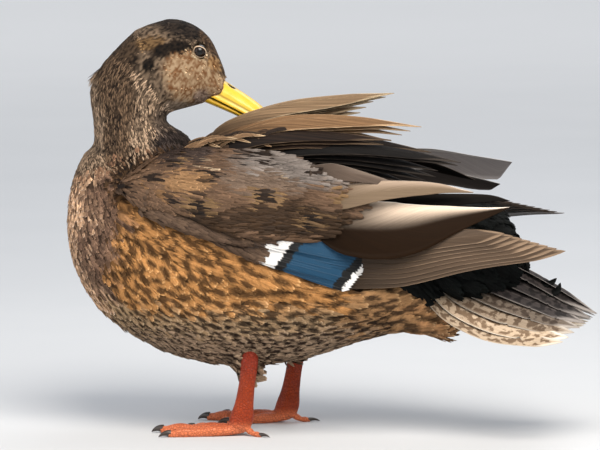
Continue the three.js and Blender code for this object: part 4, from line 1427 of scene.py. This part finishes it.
for side, name in SIDES:
    coat = furred_pad(
        f"shoulder_{name}", SHOULDER_LOW, SHOULDER_TOP, shoulder_stand, side, "shoulder", SHOULDER_PATCHES,
        lambda x: (8 + 5 * rise(x, 60, 130) + 3 * rise(x, 150, 185), 3.2 + 0.8 * rise(x, 60, 185)),
        1.75, shoulder_slope,
    )
    keep(coat, [f"scapulars_{name}"])

# ---------------------------------------------------------------- The flank's upper rows
# Long side feathers that lap over the lower edge of the folded wing, like the body's but longer. They
# grow in four rows along the wing's edge, the upper ones standing further out over the lower.
FLANK_LINE = np.array(
    [(40, 164), (50, 158), (68.5, 148), (103, 135), (143, 122), (172, 110), (202, 101), (219, 100),
     (250, 104)],
    float,
)
ROW_PATCH = 0.014
for side, name in SIDES:
    spots = []
    for below, lift in ((18, 0.2), (13.5, 0.8), (9, 1.4), (4.2, 2.0)):
        steps = np.arange(47, 226, 4.4)
        for x in steps + rng.uniform(-1.5, 1.5, len(steps)):
            z = np.interp(x, *FLANK_LINE.T) - below + rng.uniform(-1, 1)
            climb = np.interp(x + 18, *FLANK_LINE.T) - np.interp(x, *FLANK_LINE.T)
            slope = math.degrees(math.atan2(climb, 18))
            spots.append((x, z, lift - 0.8, slope))
    rows = side_roots(spots, side)
    colours = markings(rows["place"], rows["along"], rng)
    sizes = 18 * MM, 7.5 * MM, 0.07, 0.06, ROW_PATCH
    keep(plant_feathers(f"flank_rows_{name}", rows, body_shapes, body_finish, *sizes, colours, rng, marks))

# ---------------------------------------------------------------- The undertail coverts
# Long soft feathers that round off the vent and reach back under the root of the tail. They grow from
# the skin in rows, and the lower ones droop a little.
for side, name in SIDES:
    spots = []
    for x in np.arange(226, 260, 4.2):
        for z in np.arange(71, 94 - 1.2 * max(0, x - 240), 4.0):
            slope = -4 + 0.35 * (x - 240) - 0.4 * (82 - z)
            spots.append((x + rng.uniform(-2, 2), z + rng.uniform(-2, 2), 0.6 - 0.06 * abs(z - 82), slope))
    rows = side_roots(spots, side)
    colours = markings(rows["place"], rows["along"], rng)
    sizes = 13 * MM, 7 * MM, 0.05, 0.06, ROW_PATCH
    keep(plant_feathers(f"undertail_{name}", rows, body_shapes, body_finish, *sizes, colours, rng, marks))

# ---------------------------------------------------------------- The ruffled feathers
# Back feathers stood up and combed over by the bill, long and pale at the tips, dark underneath: the lower
# fans are dark back feathers, deepened as painted shade below the raised ones. They are quills in five fans
# of like copies, and short ones where the bill has parted the coat.
ruffled_finish = feather_material(
    "ruffled feathers", 0.09, 0.65, 0.2, lower_web=0.3, dark_root=0.85, strands=1.0
)
RUFFLED = [  # shaft, widths above and below it, then ground, mark and edge
    ([(90, -2, 188), (106, -3, 205), (142, -3, 219), (184, 0, 225), (220, 2, 228.5)],
     (2, 4, 5, 4, 3, 3, 3.5, 3.5, 3, 1.6, 0.2),
     (4, 8, 9, 8, 8, 8.5, 8, 7, 5, 2.4, 0.2), "987c5e", "3e2c1c", "cfb896"),
    ([(92, -9, 186), (114, -11, 201), (152, -12, 211), (196, -10, 212.5), (240, -6, 207.5)],
     (3, 5, 6, 6, 6, 5, 4, 3, 2, 1, 0.2), (4, 8, 9, 9, 8, 8, 8, 7, 5, 2, 0.2), "7a5c40", "32220f", "b89a78"),
    ([(96, -16, 183), (120, -17, 195), (152, -17, 201), (188, -16, 201), (226, -14, 198)],
     (3, 5, 6, 6, 5, 5, 4, 3, 2.5, 1.5, 0.2),
     (4, 7, 8, 8, 7, 7, 6, 5, 4, 2, 0.2), "30221a", "140d09", "7a644e"),
    # the last two fans are near black: dark back feathers, deepened as painted shade below the raised ones
    ([(108, -6, 186), (134, -7, 196), (170, -6, 200), (208, -4, 197), (248, 0, 190)],
     (3, 4, 5, 5, 5, 5, 4, 3, 2.5, 1.5, 0.2),
     (4, 6, 7, 7, 7, 7, 6, 5, 4, 2, 0.2), "1a1310", "0b0806", "5c4c3c"),
    ([(118, -14, 184), (150, -15, 192), (190, -14, 195), (230, -9, 191), (268, -3, 184)],
     (3, 4, 5, 5, 5, 5, 4, 3, 2.5, 1.5, 0.2),
     (4, 6, 7, 7, 7, 7, 6, 5, 4, 2, 0.2), "171311", "0a0807", "4e453e"),
]
RUFFLED_COPIES = 6
raised = []
for line, above, below, *tones in RUFFLED:
    for copy in range(RUFFLED_COPIES):
        moved = np.array(line) + [rng.uniform(-4, 4), 1.3 * copy, 0]
        moved[:, 0] -= copy * np.linspace(-1, 6.5, 5)
        moved[:, 2] -= 1.0 + copy * np.linspace(0.8, 3.4, 5) + rng.uniform(-0.8, 0.8)
        coat = shades(*tones, (0.0, 0.0, 0.2), 0.25)
        face, end = (-0.5, -0.7, 0.7), (0, -0.75, 0.8)
        look = {"splits": 0, "thick": 0.1, "shaft": 0.2, "stations": 30, "camber": 0.22, "slant": 0.3}
        raised.append(quill(moved, face, (above, below), coat, rng, face_end=end, **look))
SHORT_TONES = (
    ("84664a", "2c1d12", "d2b48e"),
    ("4a3728", "181009", "98795a"),
    ("2c211a", "120c08", "6a5642"),
)
SHORT_LOOK = {"face_end": (0.1, -0.8, 0.6), "close": (0.2, 0.2), "power": (1.6, 1.6), "stations": 14}
SHORT_LOOK |= {"splits": 5, "gape": 1.0, "thick": 0.08, "shaft": 0.1, "slant": 0.4}
SHORT_COUNT = 90
for number in range(SHORT_COUNT):
    x, y = rng.uniform(76, 132), rng.uniform(-20, 4)
    base = np.array([x, y, 181 + 0.12 * (x - 76) - 0.15 * abs(y)])
    length = rng.uniform(22, 40)
    line = [base, base + [0.16 * length, 0, 0.3 * length], base + [0.55 * length, 0, 0.48 * length]]
    line.append(base + [length, rng.uniform(-3, 3), (0.42 + rng.uniform(-0.12, 0.1)) * length])
    coat = shades(*SHORT_TONES[number % 3])
    raised.append(quill(line, (-0.6, -0.6, 0.5), (2.2, 2.2), coat, rng, **SHORT_LOOK))
piece = quills_object("raised_feathers", raised, ruffled_finish)
keep(piece, ["ruffled_feathers_raised", "ruffled_feathers_lower"])

# ---------------------------------------------------------------- The tail
# Stiff pointed feathers in an arched fan, pale with brown marks outside and grey towards the middle.
# Each is a quill rooted in the rump; the middle ones lie over the outer.
tail_finish = feather_material("tail feathers", 0.1, 0.6, bump=0.06, marbled=0.8, barbs=0.45, strands=0.25)
TAIL_MIDDLE = [(270, -1.5, 120), (286, -1.5, 118.5), (308, -1.5, 110), (333, -1.5, 97), (358.5, -1.5, 82.5)]
TAIL_OUTER = [(246, -25, 97), (266, -33, 83), (292, -38, 72.5), (320, -41, 70), (343, -42, 70.5)]
for side, name in SIDES:
    fan = []
    for number, line in enumerate(row_of(7, TAIL_OUTER, TAIL_MIDDLE)):
        inner = number / 6
        line[:, 2] += 0.3 * number - 0.5
        grey = rise(inner, 0.1, 0.65)
        pale, mark, rim = (
            (1 - grey) * paint(outer)[0] + grey * paint(middle)[0]
            for outer, middle in (("bfa88e", "383230"), ("5a4029", "151211"), ("e2d4c2", "8c847e"))
        )
        coat = (pale * rng.uniform(0.92, 1.08), mark, rim, PLAIN)
        look = {"close": (0.78, 0.8), "power": (1.2, 1.2), "camber": 0.12, "stations": 22, "splits": 5}
        low = 4.2 if number == 0 else 7
        fan.append(quill(line, (0.25, -0.75 + 0.35 * inner, 1), (7.2, low), coat, rng, side, **look))
    keep(quills_object(f"tail_{name}", fan, tail_finish), [f"tail_feathers_{name}"])

# ---------------------------------------------------------------- The black coverts and curls
# The drake's glossy black feathers above the tail's root, in rows that hide it, with the curled ones
# lying on the tail. The rows are small feathers planted on the side, the curls are quills.
black_finish = feather_material("black plumage", 0.1, 0.5, bump=0.12, specular=0.06)
RUMP_END = np.array(
    [(244, 101), (254, 93), (264, 92.5), (286, 95), (302, 100), (311, 107), (318, 118)],
    float,
)
RUMP_TIERS = 11
RUMP_ACROSS = 19
for side, name in SIDES:
    spots = []
    for tier in range(RUMP_TIERS):
        for share in np.linspace(0, 1, RUMP_ACROSS):
            x1 = 249 + 62 * share + rng.uniform(-2, 2)
            z1 = np.interp(x1, *RUMP_END.T) + 3.6 * tier + rng.uniform(-1, 1)
            slope = -38 + 8 * share + 1.8 * tier + rng.uniform(-7, 7)
            x1 -= 2.4 * tier + 16 * math.cos(math.radians(slope))
            spots.append((x1, z1 - 16 * math.sin(math.radians(slope)), 0.6, slope))
    rows = side_roots(spots, side)
    tone = rng.uniform(0.5, 1.5, (len(spots), 1))
    colours = [paint(code) * tone for code in ("060807", "020202", "0a0e0d")] + [0 * rows["place"]]
    sizes = 19 * MM, 8 * MM, 0.12, 0.12, ROW_PATCH
    piece = plant_feathers(f"tail_coverts_{name}", rows, body_shapes, black_finish, *sizes, colours, rng)
    keep(piece, ())
CURLS = [
    [(284, -3, 114), (304, -5, 103.5), (320, -6, 97.5), (332, -6, 98.5), (335, -5, 104.5)],
    [(280, -6, 110), (294, -9, 101), (306, -11, 95), (316, -12, 90.5), (322, -12, 88)],
    [(290, -1, 117), (306, -2, 109.5), (318, -3, 104.5), (327, -3, 103.5), (332, -2, 107)],
]
curls = []
for line in CURLS:
    coat = shades("080908", "030303", "0e100f")
    look = {"close": (0.55, 0.55), "power": (1.4, 1.4), "stations": 22, "splits": 4, "gape": 0.8}
    curls.append(quill(line, (0.4, -0.7, 0.8), (3.4, 3.4), coat, rng, **look))
keep(quills_object("curled_feathers", curls, black_finish), ["tail_curl"])
for shape in body_shapes + pelt + [marks]:
    bpy.data.objects.remove(shape)

# ---------------------------------------------------------------- The bill
# Horn over bone: a broad flattened upper half with a rolled rim, slit nostrils and a nail at its tip,
# closed over a narrower lower half. Both are lofted from sections along the head's own axis.
UPPER_BILL = [  # distance past the middle of the eyes, lowest and highest z in the head, half width
    (20, -24.2, -9.2, 9.6), (26, -24.2, -10.4, 9.9), (36, -24, -11.4, 9.9), (48, -24.1, -12.6, 10.7),
    (60, -24.6, -14.9, 12), (68, -25.2, -17.4, 12), (74, -25.6, -20, 10), (78, -26.4, -22, 6.4),
    (79.6, -26.8, -24, 1),
]
LOWER_BILL = [
    (19, -29.6, -23.7, 8.2), (30, -28.6, -23.6, 8.8), (46, -27.6, -23.8, 9.6),
    (62, -27.4, -24.4, 10.4), (71, -27.6, -25.4, 7.4), (75.5, -27.9, -26.6, 2),
]
NOSTRIL = (31.5, 0.78)  # distance along the bill, and share of the way from its rim up to the ridge


def along_bill(x):
    return (x - 20) / 60


rings, horn_marks = [], []
for x, low, high, half in curve_through(UPPER_BILL, 88):
    turn = np.linspace(0, math.pi, 43)
    height = np.sin(turn) ** 0.8
    roll = 1 + 0.05 * np.exp(-((height / 0.13) ** 2)) - 0.05 * np.exp(-(((height - 0.27) / 0.12) ** 2))
    arch = np.column_stack([0 * turn + x, half * np.cos(turn) * roll, low + (high - low) * height])
    arc = 1 - np.abs(turn / (math.pi / 2) - 1)
    away = np.hypot((x - NOSTRIL[0]) / 2.7, (arc - NOSTRIL[1]) / 0.12)
    arch[:, 1:] -= (arch[:, 1:] - [0, low]) * 0.1 * (1 - rise(away, 0.3, 1.1))[:, None]
    palate_y = np.linspace(-1, 1, 17)[1:-1]
    vault = low + 1.2 * (1 - palate_y**2) * min(1, half / 6)
    palate = np.column_stack([0 * palate_y + x, half * palate_y, vault])
    rings.append([in_head(*place) for place in np.vstack([arch, palate])])
    outer = [(along_bill(x), h, a) for h, a in zip(height, arc)]
    horn_marks.append(outer + [(along_bill(x), 0, -1)] * len(palate))
horn, shader = new_material("bill", 0.32, Coat_Weight=0.3, Coat_Roughness=0.2)
out, height, arc = parts_of(carried(shader, "horn"))
place = object_place(shader)
colour = mixed(noise(place, 160, 3.0), "e6b01c", "f0c848")
smudges = noise(place, 55, 4.0, 0.6)
away = span_of((out - along_bill(NOSTRIL[0])) / 0.06, (arc - NOSTRIL[1]) / 0.12)
pit = graded(away, 1.0, 0.75)
OVER_HORN = (  # where each colour lies over the yellow: smudges, rim, nail, round the nostril, in it, palate
    (graded(smudges, 0.5, 0.75, 0.0, 0.45), "b4901c"),
    # a dark olive line along the groove above the rim: painted shade in the groove
    (graded(abs(height - 0.27), 0.1, 0.02) * 0.75, "8a7418"),
    (graded(out, 0.9, 0.95) * graded(height, 0.8, 0.95), "6b5a2c"),
    (graded(away, 2.0, 0.9, 0.0, 0.55), "8d7a22"),
    # black in the nostril: painted shade in its hole
    (pit, "060503"),
    (graded(arc, -0.3, -0.8), "4a2c1c"),
)
for share, code in OVER_HORN:
    colour = mixed(share, colour, code)
feed(shader, {"Base Color": colour, "Roughness": pit * 0.6 + 0.32, "Coat Weight": pit * -0.3 + 0.3})
bumped(shader, noise(place, 900), 0.06)
keep(loft("upper_bill", rings, horn, horn=horn_marks), ["bill_upper"])

rings, horn_marks = [], []
for x, low, high, half in curve_through(LOWER_BILL, 48):
    turn = np.linspace(0, math.tau, 40, endpoint=False)
    y, z = np.cos(turn), np.sin(turn)
    wide = half * np.sign(y) * np.abs(y) ** 0.7
    section = np.column_stack([0 * turn + x, wide, (low + high) / 2 + (high - low) / 2 * z])
    rings.append([in_head(*place) for place in section])
    horn_marks.append([(along_bill(x), 0.5 + 0.5 * v, 1) for v in z])
under_horn, shader = new_material("lower bill", 0.4)
_, height, _ = parts_of(carried(shader, "horn"))
yellow = mixed(noise(object_place(shader), 220, 3.0), "e0b42c", "c39420")
# the top of the lower half, under the upper half's rim, is dark brown: painted shade
feed(shader, {"Base Color": mixed(graded(height, 0.62, 0.85), yellow, "3d2c14")})
keep(loft("lower_bill", rings, under_horn, horn=horn_marks), ["bill_lower"])

# ---------------------------------------------------------------- The eyes
# Dark glossy eyeballs, each in a pale rim of bare lid that leaves an oval a little smaller than it.
# A ball is lofted round the axis of its gaze, and its lid is a wrinkled ring that hugs it.
EYE_RADIUS = 5.0
EYE_AT = (-0.4, 13.4, -0.9)
eyeball, shader = new_material("eyeball", 0.06, Specular_IOR_Level=0.35)
gaze = parts_of(carried(shader, "gaze"))[0]  # the angle from the middle of the pupil
iris = mixed(graded(gaze, 0.5, 0.75), "1e120a", "140c07")
feed(shader, {"Base Color": mixed(graded(gaze, 0.38, 0.34), iris, "040303")})
lid_skin, shader = new_material("eyelid", 0.6)
wrinkles = noise(object_place(shader), 1500, 3.0)
rim = parts_of(carried(shader, "rim"))[0]
colour = mixed(wrinkles, "8c7058", "dcc2a4")
feed(shader, {"Base Color": mixed(graded(rim, 0.3, 0.08), colour, "2c2018")})
bumped(shader, wrinkles, 0.12)
for side, name in SIDES:
    middle = np.array(EYE_AT) * [1, side, 1]
    rings, gazes = [], []
    for tilt in np.linspace(0.03, 2.4, 30):
        turn = np.linspace(0, math.tau, 44, endpoint=False)
        flat = np.column_stack([np.cos(turn), 0 * turn, np.sin(turn)]) * math.sin(tilt)
        spots = middle + EYE_RADIUS * (flat + [0, side * math.cos(tilt), 0])
        rings.append([in_head(*place) for place in spots])
        gazes.append([(tilt, 0, 0)] * len(turn))
    keep(loft(f"eyeball_{name}", rings, eyeball, gaze=gazes), [f"eye_{name}"])
    rings, rims = [], []
    for share in np.linspace(0, math.tau, 28, endpoint=False):
        v = 0.5 - 0.5 * math.cos(share)
        outside = share < math.pi
        radius = EYE_RADIUS + (0.12 + 0.5 * math.sin(share) ** 0.8 * (1 - 0.4 * v) if outside else -0.35)
        turn = np.linspace(0, math.tau, 56, endpoint=False)
        fold = 0.12 * np.sin(turn * 23) * v * outside
        a, b = (4.0 + 0.75 * v) * np.cos(turn), (3.1 + 0.8 * v) * np.sin(turn) + 0.3 * np.cos(turn) ** 2 * v
        depth = np.sqrt(np.maximum(radius**2 - a**2 - b**2, 0.4)) + fold * 0.3
        spots = middle + np.column_stack([a, side * depth, b])
        rings.append([in_head(*place) for place in spots])
        rims.append([(v if outside else 1, 0, 0)] * len(turn))
    keep(loft(f"lids_{name}", rings, lid_skin, ends=False, rim=rims), ())

# ---------------------------------------------------------------- The legs
# Bare scaly shanks and webbed feet, swollen at the joints, with short dark claws. The shank, toes and
# webs are lofted apart, remeshed into one skin, and the scales raised on it.
FEET = {"left": (126, -33, 1), "right": (143, 33, -1)}  # ball of the foot, sign of outward turns
TOES = [  # turn outwards, length and half thickness, the hind toe last
    (-25, 43, 3.7), (-1, 56, 4.3), (21, 50, 3.8), (160, 15, 2.2),
]
SHANK = [  # from the feathered thigh down: x past the ball, y and z, half depth and half width
    (7, -30, 66, 4.6, 4.2), (5.6, -33.4, 58, 5.0, 4.6), (5.2, -35.2, 50, 5.8, 5.0), (4.4, -35, 42, 5.6, 4.1),
    (3.2, -34.5, 34, 5.5, 3.7), (1.4, -33.8, 22, 6.3, 3.9), (-0.2, -33.2, 13, 7.8, 5.2),
    (-2.6, -33, 6, 7.6, 5.8),
]


def on_foot(ball, turn, reach, z):
    angle = math.radians(turn)
    return np.array([ball[0] - reach * math.cos(angle), ball[1] - ball[2] * reach * math.sin(angle), z])


def limb(name, rows, front=(0, 0, 1), around=20):
    """A round limb through rows of place, half depth and half width, measured along `front`."""
    rows = curve_through(rows, 9 * len(rows))
    ways = unit(np.gradient(rows[:, :3], axis=0))
    turn = np.linspace(0, math.tau, around, endpoint=False)
    rings = []
    for row, way in zip(rows, ways):
        fore = unit(np.array(front) - way * np.dot(front, way))
        beside = np.cross(way, fore)
        spots = row[:3] + np.outer(np.cos(turn), fore) * row[3] + np.outer(np.sin(turn), beside) * row[4]
        rings.append(placed(spots))
    return loft(name, rings, None)


def toe_on(ball, turn, length, half):
    """The rows of a toe, knuckled, thinner towards its claw and lifted at its root."""
    rows = []
    for share in np.linspace(0, 1, 13):
        thick = half * (1 + 0.1 * math.cos(share * math.tau * 2.6) - 0.34 * share**1.5)
        lift = 6.5 * (1 - share) ** 3 if turn > 90 else 2.4 * (1 - share) ** 5
        rows.append((*on_foot(ball, turn, share * length, thick * 0.86 + lift), thick, thick * 0.96))
    return rows


def web_on(ball, first, second):
    """A web between two toes, thin, with its free edge curved in and a little slack."""
    rings = []
    for share in np.linspace(0, 1, 15):
        turn, reach = (first[i] + (second[i] - first[i]) * share for i in (0, 1))
        far = reach * (0.95 * (1 - 0.27 * math.sin(math.pi * share)))
        sag = 0.9 * math.sin(math.pi * share)
        over = [(4, 4.6), (far * 0.3, 3.7), (far * 0.6, 3.2 - sag), (far * 0.85, 3.0 - sag)]
        over.append((far, 2.5 - sag))
        under_it = [(far, 1.5 - sag), (far * 0.6, 2.1 - sag), (far * 0.3, 2.5), (4, 2.4)]
        rings.append(placed([on_foot(ball, turn, reach, z) for reach, z in over + under_it]))
    return loft("web", rings, None)


def claw_on(ball, turn, length, half):
    rows = []
    for share in np.linspace(0, 1, 6):
        thick = 0.62 * half * (1 - share) ** 0.7 + 0.12
        drop = half * 0.66 + 0.9 * math.sin(share * 2.0) - (half * 0.66 + 0.4) * share**2
        rows.append((*on_foot(ball, turn, length - 1.5 + share * 8, max(drop, thick)), thick, thick * 0.85))
    return limb("claw", rows, around=12)


def united(label, things):
    """One object of several, which are used up."""
    meshes = [thing.data for thing in things]
    for thing in things:
        bpy.data.objects.remove(thing)
    return joined(label, meshes)


scaly, shader = new_material("leg skin", 0.45, Coat_Weight=0.04, Specular_IOR_Level=0.25)
place = object_place(shader)
height = parts_of(place)[2]
wires = {"Vector": place, "Scale": 520.0}
scales = Wire(add_node(shader.id_data, "ShaderNodeTexVoronoi", wires, feature="DISTANCE_TO_EDGE").outputs[0])
patchy = noise(place, 130, 3.0)
colour = mixed(patchy, "7c240a", "b04417")
# darker red towards the top of the shank: painted shade under the belly feathers
colour = mixed(graded(height, 0.03, 0.052), colour, "8a2a10")
# paler peach on the toes near the floor: partly their own lighter orange, partly a painted highlight
colour = mixed(graded(height, 0.011, 0.004, 0.0, 0.7), colour, "f08a5c")
colour = mixed(parts_of(carried(shader, "web"))[0], colour, mixed(patchy, "5f5668", "a08a98"))
feed(shader, {"Base Color": mixed(graded(scales, 0.14, 0.0, 0.0, 0.42), colour, "5c1c0e")})
bumped(shader, graded(scales, 0.0, 0.2), 0.35)
claw_horn, shader = new_material("claws", 0.35)
feed(shader, {"Base Color": mixed(noise(object_place(shader), 420), "1a1613", "4a3f37")})
for name, ball in FEET.items():
    shank = [(ball[0] + x, y * ball[2], *rest) for x, y, *rest in SHANK]
    toes = [toe_on(ball, *toe) for toe in TOES]
    pieces = [limb("shank", shank, front=(1, 0, 0), around=24)]
    pieces += [limb("toe", toe, around=18) for toe in toes]
    pieces += [web_on(ball, TOES[i], TOES[i + 1]) for i in (0, 1)]
    leg = united(f"leg_{name}", pieces)
    with_modifiers(
        leg,
        ("REMESH", {"mode": "VOXEL", "voxel_size": 0.55 * MM, "use_smooth_shade": True}),
        ("SMOOTH", {"factor": 0.5, "iterations": 5}),
    )
    spots = places_of(leg.data)
    spots[:, 2] = np.maximum(spots[:, 2], 0)
    move_vertices(leg.data, spots)
    local = np.column_stack([(spots[:, 0] - BREAST_X), spots[:, 1], spots[:, 2]]) / MM
    away = []  # from each toe, in its half thickness
    for toe, (_, _, half) in zip(toes, TOES):
        start, end = np.array(toe[0][:3]), np.array(toe[-1][:3])
        share = np.clip(((local - start) @ (end - start)) / np.sum((end - start) ** 2), 0, 1)
        away.append(np.linalg.norm((local - start - share[:, None] * (end - start))[:, :2], axis=1) / half)
    reach = np.hypot(local[:, 0] - ball[0], local[:, 1] - ball[1])
    webbed = rise(np.min(away, 0), 0.95, 1.25) * (1 - rise(local[:, 2], 4.2, 5.5)) * rise(reach, 7, 12)
    set_attribute(leg.data, "web", "FLOAT_VECTOR", np.column_stack([webbed, webbed, webbed]))
    leg.data.materials.clear()
    leg.data.materials.append(scaly)
    keep(leg, [f"shank_{name}", f"foot_{name}"])
    claws = united(f"claws_{name}", [claw_on(ball, *toe) for toe in TOES])
    claws.data.materials.append(claw_horn)
    claws.data.shade_smooth()
    keep(claws, [f"claw_{name}_{i}" for i in range(1, 5)])
